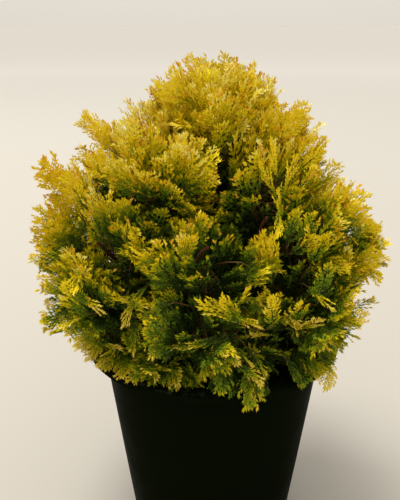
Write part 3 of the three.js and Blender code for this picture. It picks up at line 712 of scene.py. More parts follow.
# Bright sprays at the front: the places of root and tip, width, gold, turn, curl
ACCENTS = dict(
    lower_5=(
        (228, 140, 83, 236, 133, 78, 0.3, 0.25, 65, -0.1), (239, 105, 88, 235, 136, 67, 0.4, 0.2, 50, -0.25),
        (225, 151, 81, 232, 147, 73, 0.5, 0.45, 30, -0.1), (234, 114, 60, 239, 129, 34, 0.5, 0.12, 30, 0),
        (220, 143, 103, 226, 160, 93, 0.6, 0.12, 20, -0.1), (227, 146, 75, 223, 163, 95, 0.8, 0.2, 20, 0),
        (226, 149, 69, 223, 167, 84, 0.7, 0.25, -20, 0),
    ),
    lower_6=(
        (255, 137, 90, 243, 117, 58, 0.95, 0.42, 10, -0.2), (267, 137, 57, 256, 138, 54, 0.42, 0.45, 35, -0.1),
        (277, 126, 59, 266, 133, 55, 0.45, 0.3, 40, -0.15), (272, 139, 63, 269, 143, 40, 0.8, 0.62, 15, -0.15),
        (269, 139, 62, 261, 140, 56, 0.4, 0.5, 30, -0.1), (280, 140, 76, 266, 150, 98, 0.45, 0.45, 25, -0.1),
        (276, 142, 82, 272, 150, 100, 0.7, 0.35, 20, -0.1), (276, 136, 87, 280, 140, 104, 0.2, 0.1, 60, 0),
        (273, 142, 85, 283, 146, 74, 0.35, 0.4, 50, 0), (288, 140, 71, 286, 148, 97, 0.8, 0.3, 10, -0.1),
        (269, 139, 58, 277, 143, 41, 0.55, 0.62, 30, -0.1), (275, 138, 45, 285, 141, 19, 0.5, 0.62, 25, -0.1),
        (277, 135, 50, 281, 140, 36, 0.35, 0.5, 40, -0.1), (281, 129, 49, 287, 135, 23, 0.35, 0.4, 40, -0.1),
    ),
    skirt_6=(
        (238, 111, 48, 249, 136, 39, 0.45, 0.3, 20, 0), (228, 112, 0, 228, 131, -11, 0.45, 0.32, 30, -0.1),
        (237, 108, 17, 246, 124, 13, 0.9, 0.25, 10, -0.1), (247, 108, 17, 249, 121, 10, 0.7, 0.2, 15, -0.1),
        (252, 112, 14, 254, 122, 4, 0.6, 0.32, 10, -0.1), (256, 110, 14, 263, 118, 13, 0.6, 0.08, 30, -0.1),
    ),
    skirt_5=(
        (215, 121, 19, 224, 114, 20, 0.35, 0.4, 50, 0), (204, 130, 21, 213, 125, 9, 0.8, 0.3, 20, -0.1),
        (219, 108, 2, 221, 128, 0, 0.8, 0.25, 20, -0.1), (221, 105, 2, 237, 120, 3, 0.9, -0.08, 10, -0.1),
        (193, 135, 38, 196, 159, 48, 0.8, 0.25, -25, 0), (192, 123, 18, 194, 144, 17, 0.8, 0.2, 10, -0.1),
        (210, 118, 24, 212, 142, 22, 0.8, 0.4, -60, -0.15), (215, 118, 23, 217, 140, 16, 0.6, 0.5, -35, -0.15),
        (207, 118, 28, 212, 144, 35, 0.7, 0.3, -60, -0.1), (220, 118, 15, 219, 132, 5, 0.5, 0.45, -30, -0.1),
        (212, 114, 2, 216, 128, 2, 0.7, 0.1, 10, -0.1), (198, 120, 49, 194, 141, 52, 1, -0.2, 20, -0.1),
    ),
    skirt_7=(
        (293, 100, 55, 289, 108, 81, 0.35, 0.2, 40, 0), (299, 113, 46, 284, 122, 54, 0.3, 0.22, 60, 0),
        (284, 129, 18, 286, 133, -31, 0.4, 0.32, 15, -0.05),
        (283, 129, 18, 282, 131, -6, 0.4, 0.32, 20, -0.05), (286, 128, 24, 289, 131, 5, 0.28, -0.1, 50, 0),
        (300, 124, 22, 304, 131, 0, 0.4, 0, 30, -0.05), (273, 118, 24, 273, 128, 6, 0.95, 0.02, 5, -0.15),
    ),
    lower_7=(
        (294, 112, 63, 297, 139, 65, 0.5, 0.4, 35, -0.1), (299, 122, 52, 301, 153, 71, 0.5, 0.55, 35, -0.1),
        (301, 129, 53, 296, 143, 83, 0.95, 0.2, 5, -0.1), (318, 124, 17, 317, 137, -11, 1, 0.6, 45, -0.05),
        (318, 124, 36, 326, 133, 13, 0.5, 0.18, 30, -0.1), (315, 136, 50, 319, 156, 43, 0.35, 0.12, 55, -0.05),
        (311, 152, 56, 314, 166, 74, 0.95, 0.38, 10, -0.1), (303, 138, 92, 303, 160, 85, 0.25, 0.35, 65, 0),
        (293, 101, 84, 288, 114, 131, 0.7, 0.18, 15, -0.1), (295, 108, 88, 291, 122, 132, 0.6, 0.16, 20, -0.1),
        (305, 130, 111, 305, 143, 136, 0.9, -0.25, 10, -0.1), (304, 145, 89, 306, 145, 114, 1, -0.3, 10, -0.1),
        (311, 136, 111, 310, 153, 112, 0.8, 0.3, 15, -0.1),
        (324, 138, 103, 318, 168, 118, 0.8, 0.25, 15, -0.1), (328, 136, 99, 322, 164, 97, 0.9, 0.28, 15, -0.1),
        (321, 134, 100, 324, 150, 86, 0.9, 0.25, -20, -0.1),
        (318, 132, 100, 319, 146, 81, 0.9, 0.25, 15, -0.1),
    ),
    skirt_1=(
        (320, 126, 14, 318, 138, -2, 0.9, 0.55, 25, -0.05), (321, 122, 15, 323, 129, 4, 0.6, 0.1, 10, -0.1),
    ),
    middle_6=(
        (280, 128, 119, 290, 110, 91, 0.7, 0.3, 15, -0.1), (243, 114, 109, 241, 129, 136, 0.5, 0.15, 25, -0.1),
        (251, 128, 110, 241, 130, 128, 0.35, 0.4, 45, -0.1),
    ),
    middle_7=(
        (297, 111, 143, 294, 114, 170, 0.35, 0.26, 40, 0), (301, 125, 123, 302, 139, 135, 0.7, 0.3, 20, -0.1),
        (298, 120, 129, 298, 126, 154, 0.8, -0.12, 10, -0.1),
        (302, 126, 131, 302, 133, 152, 0.9, -0.1, 10, -0.1),
        (324, 138, 122, 322, 160, 110, 0.9, 0.3, 30, -0.1), (323, 128, 125, 317, 150, 150, 0.9, 0.18, 20, 0),
        (312, 120, 150, 313, 142, 171, 0.9, 0.12, 10, 0), (317, 130, 137, 315, 156, 159, 0.9, 0.15, 10, 0),
        (318, 138, 129, 316, 164, 146, 0.9, 0.18, 10, 0),
    ),
    upper_4=(
        (298, 104, 158, 289, 103, 188, 0.4, 0.24, 35, 0), (299, 105, 161, 304, 109, 192, 0.4, 0.28, 30, 0),
        (298, 99, 180, 297, 92, 204, 0.4, 0.28, 30, 0), (298, 104, 154, 292, 124, 137, 0.35, 0.3, 40, 0),
        (316, 92, 179, 313, 108, 204, 0.9, 0.3, -10, 0), (318, 72, 197, 316, 92, 222, 0.9, 0.25, 10, 0),
        (312, 100, 178, 313, 118, 196, 0.6, 0.3, 15, 0),
    ),
    middle_5=(
        (236, 123, 126, 246, 124, 115, 0.45, 0.45, 35, -0.1),
        (212, 126, 147, 218, 146, 175, 0.9, 0.35, 10, -0.1), (192, 128, 146, 213, 160, 184, 0.75, 0.4, 10, 0),
    ),
    lower_4=(
        (192, 127, 140, 211, 152, 174, 0.9, 0.35, 10, 0), (192, 123, 125, 204, 146, 152, 0.9, 0.2, -35, 0),
        (192, 127, 114, 203, 150, 142, 0.8, 0.05, 40, 0), (193, 133, 103, 206, 162, 134, 0.9, 0.12, -30, 0),
        (193, 136, 98, 202, 164, 118, 0.8, 0, 15, 0), (193, 135, 82, 196, 160, 99, 0.8, 0.02, 40, 0),
        (193, 134, 68, 196, 158, 81, 0.8, -0.02, -35, 0), (193, 135, 52, 196, 160, 66, 0.8, 0.25, 35, 0),
        (192, 121, 127, 205, 142, 149, 1, 0, 15, -0.1), (192, 120, 113, 194, 142, 122, 1, -0.1, -20, -0.1),
        (191, 119, 97, 194, 147, 111, 1, -0.2, 20, -0.1), (192, 120, 86, 194, 146, 98, 1, -0.25, -15, -0.1),
        (192, 121, 74, 194, 147, 85, 1, -0.25, 15, -0.1), (192, 120, 57, 194, 143, 70, 1, -0.15, -15, -0.1),
    ),
    upper_3=(
        (207, 96, 195, 207, 118, 219, 0.7, 0.4, 10, 0), (218, 108, 165, 216, 124, 187, 0.9, 0.35, 20, 0),
        (218, 104, 171, 217, 116, 192, 0.9, 0.35, -15, 0), (203, 96, 187, 212, 112, 204, 0.9, 0.3, 10, 0),
    ),
    crown_3=(
        (242, 40, 231, 228, 54, 252, 0.9, 0.3, 10, 0), (239, 46, 228, 224, 66, 240, 0.9, 0.3, -15, 0),
        (252, 30, 237, 240, 44, 261, 0.9, 0.3, 10, 0), (222, 44, 217, 219, 60, 236, 0.8, 0.3, 10, 0),
        (315, 60, 204, 312, 78, 227, 0.9, 0.35, 10, 0),
    ),
)
ACCENT_SHORTEST, ACCENT_LONGEST, ACCENT_LOW = 30, 58, 25
FRONT = unit(np.array([0.0, -1.0, 0.4]))

# Dark hollows between the boughs: place, width
HOLLOWS = (
    (243, 108, 150, 12), (231, 138, 124, 10), (280, 88, 184, 9), (279, 94, 168, 11), (286, 102, 147, 12),
    (301, 115, 163, 8), (271, 146, 116, 14), (298, 130, 119, 12), (298, 133, 99, 12), (264, 152, 99, 8),
    (263, 162, 84, 11), (278, 143, 65, 10), (233, 137, 63, 9), (292, 130, 35, 9), (234, 131, 102, 10),
    (239, 117, 91, 10), (298, 121, 40, 9), (301, 116, 6, 8), (263, 160, 59, 10),
)
HOLLOW_MOUTH, HOLLOW_DEPTH = 24, 30
HOLLOW_WALL = math.exp(-1)

# Clearings before the limbs that show: place, reach to the front, width
CLEARINGS = (
    (205, 99, 92, 50, 5), (209, 106, 100, 45, 5), (210, 111, 106, 40, 5), (211, 116, 112, 35, 4),
    (296, 83, 126, 40, 4), (295, 92, 138, 35, 4), (296, 100, 148, 30, 4), (263, 108, 116, 40, 4),
    (296, 17, 145, 90, 5), (296, 16, 153, 90, 5), (297, 16, 161, 90, 5), (298, 15, 169, 90, 5),
)


def facing(growth, toward, turn):
    """The way a frond's face looks: square to its growth, towards a direction, then turned by some degrees."""
    face = unit(toward - growth * (growth @ toward))
    turn = math.radians(turn)
    return face * math.cos(turn) + np.cross(growth, face) * math.sin(turn)


def frond_row(mass, root, growth, face, length, curl, spread=1.0, gold=0.0, plain=False, proud=False):
    """One frond: how it is rooted, grows and faces, how wide and golden it is, and how clear of other masses.

    A plain one stands inside and has fewer, larger leaflets. A proud one may stand in a hollow.
    """
    tip = root + growth * length
    others = min(float(depth_in(other, tip)) for other in mass.rest)
    return SimpleNamespace(root=root, growth=growth, face=face, length=length, curl=curl, others=others,
                           spread=spread, gold=gold, plain=plain, proud=proud)


def tuft_rows(mass, longest):
    """The tufts of one mass: for each a foot on the stem side, and its fronds in a fan that faces outward."""
    draw, swing = seeded(SEED + TUFT_SEED + mass.number)
    for _ in range(CORE_DRAWS):
        draw()
    directions = spiral_directions(SPRAYS_ROUND, TAU * draw())
    directions = [direction for direction in directions if direction @ mass.outward >= INWARD_LIMIT]
    tilts = [swing(SPRAY_TILT) for _ in directions]
    tufts = []
    for direction, tilt in zip(directions, tilts):
        reach = SPRAY_REACH * VISUAL_REACH[mass.tier] * float(surface_reach(mass, direction))
        reach = min(reach * REACH_TRIM.get(mass.name, 1), WALL_STRETCH * wall_reach(mass, direction))
        tip = mass.centre + direction * reach
        drop = root_drop(tip[2])
        inward = unit(direction - drop * UP)
        root = mass.centre + inward * SPRAY_ROOT_SHARE * CORE_SHARE * float(surface_reach(mass, inward))
        size = np.linalg.norm(tip - root)
        growth = unit((tip - root) / size + UPWARD[mass.tier] * UP)
        root = tip - growth * size
        face = facing(growth, direction + mass.outward * 0.7 * drop / ROOT_DROP_ABOVE, tilt)
        width = np.cross(growth, face)
        rows = []
        for angle, share, ahead in TUFT_FRONDS:
            angle = math.radians(angle + swing(TUFT.angle))
            lean = (ahead + swing(TUFT.lean)) * 0.55
            way = unit(growth * math.cos(angle) + width * math.sin(angle) + face * lean)
            frond_tip = root + way * size * share * (1 + swing(TUFT.reach))
            length = min(longest * (0.86 + swing(TUFT.length)), size * share * 1.05)
            own_face = facing(way, face, swing(TUFT.turn))
            curl = -0.13 + swing(TUFT.curl) if drop < DROOPING else -0.05 + swing(0.14)
            row = frond_row(mass, frond_tip - way * length, way, own_face, length, curl)
            if row.others > TUFT_CLEAR:
                rows.append(row)
        tufts.append((root, rows))
    return tufts


def inner_rows(mass, longest, count):
    """Short fronds close round the stem of a mass, which fill it behind the tufts."""
    draw, swing = seeded(SEED + INNER_SEED + mass.number)
    rows = []
    for direction in spiral_directions(count, TAU * draw()):
        if direction @ mass.outward >= INNER_BACK:
            way = unit(direction + np.array([swing(INNER.aside) for _ in range(3)]))
            tip = mass.centre + way * float(surface_reach(mass, way)) * (0.6 + 0.3 * draw())
            growth = unit(way + 0.8 * root_drop(tip[2]) / ROOT_DROP_ABOVE * UP)
            length = longest * (0.66 + 0.24 * draw())
            face = facing(growth, way + mass.outward * 0.5, swing(INNER.turn))
            curl = swing(INNER.curl)
            rows.append(frond_row(mass, tip - growth * length, growth, face, length, curl, plain=True))
    return [row for row in rows if row.others > INNER_CLEAR]


def limb_rows(mass, longest):
    """Shaded green fronds along the bough of a mass, or beside the trunk under a mass that has none."""
    _, swing = seeded(SEED + LIMB_SEED + mass.number)
    if mass.bough:
        line = bough_points(mass, np.linspace(0.35, 1.0, LIMB_FRONDS))
    else:
        line = stem_points(mass, np.linspace(0.1, 0.8, LIMB_FRONDS))
    heading = unit(line[-1] - line[0])
    side = unit(np.cross(heading, UP))
    rows = []
    for k, root in enumerate(line):
        around = math.pi * k + swing(LIMB.around)
        growth = side * math.cos(around) + (0.45 + swing(LIMB.rise)) * UP
        growth = unit(growth + heading * (0.7 + swing(LIMB.ahead)))
        face = facing(growth, -(mass.outward + 0.3 * UP), swing(LIMB.turn))
        length = longest * (0.8 + swing(LIMB.length))
        rows.append(frond_row(mass, root, growth, face, length, swing(LIMB.curl), 1.05, -0.16, plain=True))
    if mass.bough:
        trunk = trunk_at_height(mass.centre[2] - HEART_FALL)
        across = unit(np.cross(mass.outward, UP))
        for k in range(HEART_FRONDS):
            place = trunk + (mass.centre - trunk) * (0.2 + 0.13 * k) + swing(HEART.height) * UP
            growth = across * (1 if k % 2 else -1) + (0.3 + swing(HEART.rise)) * UP
            growth = unit(growth + mass.outward * swing(HEART.outward))
            face = facing(growth, mass.outward, swing(HEART.turn))
            root = place - growth * longest / 2
            rows.append(frond_row(mass, root, growth, face, longest, swing(HEART.curl), 1.15, -0.26, plain=True))
    return rows


def free_rows(mass, longest):
    """Slender fronds that stand a little proud of a mass, their tips the most golden."""
    draw, swing = seeded(SEED + FREE_SEED + mass.number)
    trim = REACH_TRIM.get(mass.name, 1) * FREE_TRIM.get(mass.name, 1)
    rows = []
    for direction in spiral_directions(FREE_FRONDS[mass.tier] * 2, TAU * draw()):
        if direction @ mass.outward < FREE_BACK or direction[2] < FREE_UNDER:
            continue
        way = unit(direction + np.array([swing(FREE.aside) for _ in range(3)]))
        tip = mass.centre + way * float(surface_reach(mass, way)) * (0.97 + swing(FREE.reach)) * trim
        rise = 0.15 + 0.55 * (root_drop(tip[2]) - ROOT_DROP_AT_RIM)
        growth = unit(way + np.array([swing(FREE.growth), swing(FREE.growth), rise]))
        length = longest * (0.78 + swing(FREE.length))
        face = facing(growth, UP, swing(FREE.turn))
        curl = (-0.22 if face[2] > 0 else 0.16) + swing(FREE.curl)
        spread = 0.7 + swing(FREE.spread)
        rows.append(frond_row(mass, tip - growth * length, growth, face, length, curl, spread, 0.16))
    return [row for row in rows if row.others > FREE_CLEAR]


def round_mass(mass, spread, count, swing, stagger):
    """Azimuths to both sides of a mass's own, evenly spaced but for a little swing."""
    own = math.degrees(math.atan2(mass.outward[1], mass.outward[0]))
    for k in range(count):
        yield own + spread * (2 * (k + 0.5 + swing(stagger)) / count - 1)


def collar_rows(mass, longest):
    """Fronds all round that fill the seam between two tiers."""
    _, swing = seeded(SEED + COLLAR_SEED + mass.number)
    spread, gold, rings = COLLARS.get(mass.tier, (0, 0, ()))
    rows = []
    for radius, height, rise, count in rings:
        for azimuth in round_mass(mass, spread, count, swing, COLLAR.place):
            growth = direction_at(azimuth + swing(COLLAR.azimuth), rise + swing(COLLAR.rise))
            tip = on_plant(azimuth, radius + swing(COLLAR.radius), height + swing(COLLAR.height))
            face = facing(growth, direction_at(azimuth, 0), swing(COLLAR.turn))
            length = longest * (0.9 + swing(COLLAR.length))
            root = tip - growth * length * 0.8
            rows.append(frond_row(mass, root, growth, face, length, swing(COLLAR.curl), 0.9, gold))
    return rows


def fringe_rows(mass, longest):
    """Low fronds that lie out over the potting mix and arch to the rim, and those that hang over it."""
    _, swing = seeded(SEED + FRINGE_SEED + mass.number)
    rows = []
    for radius, rise, low, count in FRINGE_RINGS if mass.tier == "skirt" else ():
        for azimuth in round_mass(mass, FRINGE_SPREAD, count, swing, FRINGE.place):
            growth = direction_at(azimuth + swing(FRINGE.azimuth), rise + swing(FRINGE.rise))
            root = on_plant(azimuth, radius + swing(FRINGE.radius), low + swing(FRINGE.height))
            length = longest * (0.92 + swing(FRINGE.length))
            face = facing(growth, UP, swing(FRINGE.turn))
            rows.append(frond_row(mass, root, growth, face, length, -0.3 + swing(FRINGE.curl), 0.85, 0.05))
    for azimuth, radius, height, heading, rise, size, curl, turn, gold in HANGERS.get(mass.name, ()):
        for aside, share in HANGER_FRONDS:
            growth = direction_at(heading + aside, rise - abs(aside) * 0.4)
            root = on_plant(azimuth + aside * 0.3, radius, height)
            face = facing(growth, UP, turn + aside * 0.8)
            rows.append(frond_row(mass, root, growth, face, longest * size * share, curl, 0.85, gold))
    return rows


def accent_rows(mass):
    """The bright sprays that stand out at the front, each from its root to its tip."""
    rows = []
    for *places, spread, gold, turn, curl in ACCENTS.get(mass.name, ()):
        root, tip = on_plant(*places[:3]), on_plant(*places[3:])
        span = np.linalg.norm(tip - root)
        growth = (tip - root) / span
        length = min(max(span, ACCENT_SHORTEST), ACCENT_LONGEST)
        front = FRONT if tip[2] > POT_TOP_MM + ACCENT_LOW else direction_at(places[3], 15)
        face = facing(growth, front, turn)
        rows.append(frond_row(mass, tip - growth * length, growth, face, length, curl, spread, gold, proud=True))
    return rows


def shoot_rows(mass, longest):
    """The fronds of the leading shoots that stand clear of a mass, and the shoots' twigs."""
    rows, twigs = [], []
    for azimuth, rise, length, spray_rise, turn, gold in SHOOTS.get(mass.name, ()):
        end = mass.centre + direction_at(azimuth, rise) * length
        twigs.append((mass.centre, mass.centre * 0.16 + end * 0.84))
        growth = direction_at(azimuth, spray_rise)
        side = unit(np.cross(growth, UP))
        for share, aside, size in SHOOT_FRONDS:
            place = mass.centre * (1 - share) + end * share
            heading = unit(growth + side * math.sin(math.radians(aside)))
            face = facing(heading, UP, turn + aside)
            size = longest * size
            rows.append(frond_row(mass, place - heading * size * 0.4, heading, face, size, -0.1, gold=gold))
    return rows, twigs


# Leaflets, and which of them stay

POT_MARGIN = 0.6
SPRIG_TILT, FROND_CUP, CUP_FALL = 0.24, 0.45, 0.12
CORNER_FLUTTER = np.array([0.0, 0.16, 0.26, 0.16])
WHOLE, PROUD_WHOLE = 0.75, 0.5


def column(rows, key):
    return np.array([getattr(row, key) for row in rows])


def frond_points(pattern, rows, swing):
    """World points of the leaflets of many fronds of one pattern: (fronds, leaflets, corners, 3)."""
    root, growth, face, length, curl, wide = (
        column(rows, key)[:, None, None] for key in ("root", "growth", "face", "length", "curl", "spread"))
    width = np.cross(growth, face)
    u, v = pattern.corners[..., 0], pattern.corners[..., 1]
    sprig = pattern.spray // SPRAYS_A_SPRIG
    spread = np.linalg.norm(pattern.corners - pattern.roots[::SPRAYS_A_SPRIG][sprig][:, None], axis=-1)
    tilt = swing(len(rows), sprig.max() + 1)[:, sprig][..., None] * SPRIG_TILT
    cup = swing(len(rows), 1)[..., None] * FROND_CUP - CUP_FALL
    flutter = swing(len(rows), len(sprig))[..., None] * CORNER_FLUTTER * FINGER_LENGTH
    height = curl * u ** 2 + cup * v ** 2 + tilt * spread + flutter
    height = height + np.array([0, -1, 0, -1]) * FINGER_FOLD * FINGER_WIDTH
    u, v, height = (part[..., None] * length[..., None] for part in (u, v * wide, height))
    return root + growth * u + width * v + face * height


def clear_of_pot(points, pot):
    """Which leaflets keep clear of the pot and of the potting mix."""
    radius, height = np.hypot(points[..., 0], points[..., 1]), points[..., 2]
    body = (pot.base_radius + (pot.body_radius - pot.base_radius) * height / POT_TOP_MM) / MM
    inside = body - pot.wall / MM - POT_MARGIN
    under_rim = POT_TOP_MM - pot.rim_drop / MM - POT_MARGIN
    in_rim = (height < POT_TOP_MM + POT_MARGIN) & (height > under_rim)
    in_rim &= (radius < RIM_RADIUS / MM + POT_MARGIN) & (radius > inside)
    in_wall = (height <= under_rim) & (radius < body + POT_MARGIN) & (radius > inside)
    in_soil = (height < SOIL_TOP_MM + POT_MARGIN) & (radius <= body)
    return ~(in_rim | in_wall | in_soil).any(axis=-1)


def off_line(points, start, line, low, high):
    """How far points lie from a line, of which only a part is there."""
    share = np.clip((points - start) @ line / (line @ line), low, high)
    return np.linalg.norm(points - start - share[..., None] * line, axis=-1)


def nearness_to_hollows(points):
    """For each point 1 on the line through the middle of a hollow, 0.37 at its wall, and less outside."""
    line = -FRONT * (HOLLOW_MOUTH + HOLLOW_DEPTH)
    nearest = min_over(off_line(points, on_plant(*place) + FRONT * HOLLOW_MOUTH, line, 0, 1) / width
                       for *place, width in HOLLOWS)
    return np.exp(-nearest ** 2)


def in_a_clearing(points):
    """Which leaflets stand in front of the lengths of bough and trunk that can be seen."""
    return min_over(off_line(points, on_plant(*place), FRONT, 0, ahead) / width
                    for *place, ahead, width in CLEARINGS) < 1


def min_over(distances):
    return np.minimum.reduce(list(distances))


def cut_loose(keep, pattern):
    """Drops also what hung on beyond a leaflet or a length of stalk that is gone."""
    sprig = pattern.spray // SPRAYS_A_SPRIG
    roots = pattern.roots[::SPRAYS_A_SPRIG]
    out = np.linalg.norm(pattern.corners[:, 0] - roots[sprig], axis=-1)
    stem = np.flatnonzero(sprig == sprig.max())
    stem_left = np.where(keep[:, stem], np.inf, pattern.corners[stem, 0, 0]).min(axis=1)
    for number in range(sprig.max()):
        own = np.flatnonzero(sprig == number)
        left = np.where(keep[:, own], np.inf, out[own]).min(axis=1)
        keep[:, own] &= (out[own] < left[:, None]) & (roots[number, 0] < stem_left)[:, None]
    return keep


def standing(points, pattern, rows, pot):
    """Which leaflets stay: those clear of pot, hollows and clearings, on fronds that stay whole enough."""
    middles = points.mean(axis=2)
    plain, proud = (column(rows, key)[:, None] for key in ("plain", "proud"))
    keep = clear_of_pot(points, pot) & (plain | proud | (nearness_to_hollows(middles) < HOLLOW_WALL))
    keep = cut_loose(keep & (proud | ~in_a_clearing(middles)), pattern)
    whole = keep.mean(axis=1) > np.where(proud[:, 0], PROUD_WHOLE, WHOLE)
    for row, is_whole in zip(rows, whole):
        row.whole = is_whole
    return keep & whole[:, None]


# Colours of the sprays, by how golden they are, with painted shade by the hollows and painted light high up

MASS_TONES = dict(skirt_1=-0.03, skirt_5=0.12, skirt_7=-0.04, lower_4=-0.09, lower_5=-0.02, lower_6=-0.1,
                  lower_7=-0.03, lower_8=0.04, middle_5=0.04, middle_6=-0.08, middle_7=-0.06, upper_2=0.03,
                  upper_3=-0.05, upper_4=-0.05, upper_5=-0.05, crown_2=0.03, crown_3=-0.03)
MASS_SWING, FROND_SWING, SPRAY_SWING = 0.05, 0.1, 0.09
# Gold by height over the rim, as shares of the leader's height. Real gold rises with height; high up it is raised
# further, painted light that lifts the shade in the top of the crown.
GOLD_HEIGHTS, GOLD_AND_PAINTED_LIGHT_BY_HEIGHT = (-0.1, 0.0, 0.35, 0.6, 0.85, 1.0, 1.2), (-0.27, -0.22, -0.09, 0.02, 0.26, 0.32, 0.36)
# Painted shade: how much darker and greener the sprays beside a hollow are dealt
HOLLOW_SHADE = 0.16
ACCENT_PALING, ACCENT_FOOT = 1.1, -0.05
PALE_HEIGHTS, ACCENT_PALEST = (60, 110), (0.96, 0.74)
TINT_STOPS = np.array([0.01, 0.09, 0.17, 0.26, 0.34, 0.42, 0.5, 0.59, 0.7, 0.83, 0.97])
TINT = {name: number for number, name in enumerate(FOLIAGE_TINTS)}
STRAW_HEIGHT = 75
WARM_HEIGHTS, WARM_SHARES = (0.2, 0.9), (0.0, 0.14)
MOST_LEAFLETS = 96000
LEAFLET_FACES = np.array([[0, 1, 2], [0, 2, 3]])


def gold_share(points, along, outer, mass, others):
    """How golden each spray is: 0 in the shaded green inside, 1 at the sunlit tips. High up, part of the gold is
    painted light.
    """
    own = depth_in(mass, points)
    up = (points[..., 2] - mass.centre[2]) / mass.across
    height = np.clip((points[..., 2] - POT_TOP_MM) / LEADER_HEIGHT, GOLD_HEIGHTS[0], GOLD_HEIGHTS[-1])
    open_air = np.clip(others - 1, 0, 0.5)
    # Painted light: high up, the slopes that make inner, lower and foot sprays greener are flattened, so shaded
    # sprays get nearly the tips' gold, standing in for light through the leaves.
    calm = np.interp(height, (0.6, 0.95), (1, 0.55))
    slopes = 0.5 * (along - 0.55) + 0.17 * (outer - 0.25) + 0.32 * (own - 0.85) + 0.2 * up
    return 0.31 + slopes * calm + np.interp(height, GOLD_HEIGHTS, GOLD_AND_PAINTED_LIGHT_BY_HEIGHT) + 0.1 * open_air


def spray_tints(points, pattern, rows, mass, tones, numbers):
    """Each spray's tint: by its gold, darker by the hollows as painted shade, straw for the brightest low down, and a
    few warmer ones high up.
    """
    sprays = len(pattern.roots)
    middles = np.stack([points[:, pattern.spray == number].mean(axis=(1, 2)) for number in range(sprays)], 1)
    along = (0.35 * pattern.roots[:, 0] + 0.65 * pattern.tips[:, 0])[None]
    outer = (np.arange(sprays) % SPRAYS_A_SPRIG / (SPRAYS_A_SPRIG - 1))[None]
    others, gold, proud = (column(rows, key)[:, None] for key in ("others", "gold", "proud"))
    share = gold_share(middles, along, outer, mass, others) + tones[:, None]
    share = share + numbers.uniform(-1, 1, share.shape) * SPRAY_SWING
    share = share + gold * np.where(proud, ACCENT_PALING * along + ACCENT_FOOT, 1)
    # Painted shade: all but the proud sprays get darker, greener tints near a hollow.
    share = share - np.where(proud, 0, nearness_to_hollows(middles) ** 0.4 * HOLLOW_SHADE)
    height = middles[..., 2] - POT_TOP_MM
    share = np.where(proud, np.minimum(share, np.interp(height, PALE_HEIGHTS, ACCENT_PALEST)), share)
    tints = np.searchsorted(TINT_STOPS, share)
    straw = (height < STRAW_HEIGHT) & (proud | (outer > 0.9)) & (tints > TINT["gold"])
    tints = np.where(straw, np.where(tints > TINT["bright_gold"], TINT["pale_straw"], TINT["straw"]), tints)
    warm = np.interp(height / LEADER_HEIGHT, WARM_HEIGHTS, WARM_SHARES) * (0.3 + outer)
    warm = (numbers.random(share.shape) < warm) & (tints >= TINT["olive_gold"]) & (tints < TINT["orange_gold"])
    return np.where(warm, TINT["orange_gold"], tints)


def grow(rows, mass, patterns, pot, numbers, tinted):
    """Grows the leaflets of a mass's fronds and deals them out by spray to the tints."""
    def swing(*shape):
        return numbers.uniform(-1, 1, shape)

    tone = float(swing(1)[0]) * MASS_SWING + MASS_TONES.get(mass.name, 0)
    few = FROND_KINDS + numbers.integers(0, PLAIN_KINDS, len(rows))
    full = numbers.integers(0, FROND_KINDS, len(rows))
    kinds = np.where(column(rows, "plain"), few, np.where(column(rows, "proud"), few + PLAIN_KINDS, full))
    tones = swing(len(rows)) * FROND_SWING + tone
    for kind, pattern in enumerate(patterns):
        picked = np.flatnonzero(kinds == kind)
        if len(picked):
            chosen = [rows[k] for k in picked]
            points = frond_points(pattern, chosen, swing)
            keep = standing(points, pattern, chosen, pot)
            tints = spray_tints(points, pattern, chosen, mass, tones[picked], numbers)[:, pattern.spray]
            for tint, leaflets in enumerate(tinted):
                leaflets.append(points[keep & (tints == tint)])


def leaflet_pieces(name, quads, material):
    """Pieces of under 200,000 triangles from an array of leaflets."""
    parts = math.ceil(len(quads) / MOST_LEAFLETS)
    for k, part in enumerate(np.array_split(quads, parts)):
        faces = (np.arange(len(part))[:, None, None] * 4 + LEAFLET_FACES).reshape(-1, 3)
        label = name if parts == 1 else f"{name}_{k + 1}"
        piece = mesh_from_arrays(label, part.reshape(-1, 3) * MM, faces)
        finish_piece(piece, label, material, FOLIAGE_NODES)


def curved_twig(foot, bend, end, radii, sides):
    return tube(bezier([foot, bend, end], np.linspace(0, 1, len(radii))), radii, sides)


def short_twig(foot, row):
    """A twig that ends a little way up the stalk of a frond."""
    end = row.root + row.growth * 0.12 * row.length
    bend = row.root - row.growth * 0.25 * np.linalg.norm(row.root - foot)
    return curved_twig(foot, bend, end, np.linspace(0.8, 0.35, 4), 3)


def twig_tubes(mass, tufts, single, shoot_twigs):
    """The stem of a mass, a twig to each tuft, to each of its fronds and to each single frond, as thin tubes."""
    line = stem_points(mass, np.linspace(0, 1, 6))
    tubes = [tube(line, np.linspace(STEM_RADIUS, TWIG_RADIUS, 6), 6)]
    for start, end in shoot_twigs:
        tubes.append(tube(np.linspace(start, end, 6), np.linspace(STEM_RADIUS, 0.7, 6), 5))
    for root, rows in tufts:
        rows = [row for row in rows if row.whole]
        if rows:
            foot = line[4] * 0.6 + line[5] * 0.4
            growth = unit(sum(row.growth for row in rows))
            bend = root - growth * 0.3 * np.linalg.norm(root - foot)
            tubes.append(curved_twig(foot, bend, root, np.linspace(1.2, 0.9, 5), 4))
            tubes.extend(short_twig(root, row) for row in rows)
    return tubes + [short_twig(line[4], row) for row in single if row.whole]


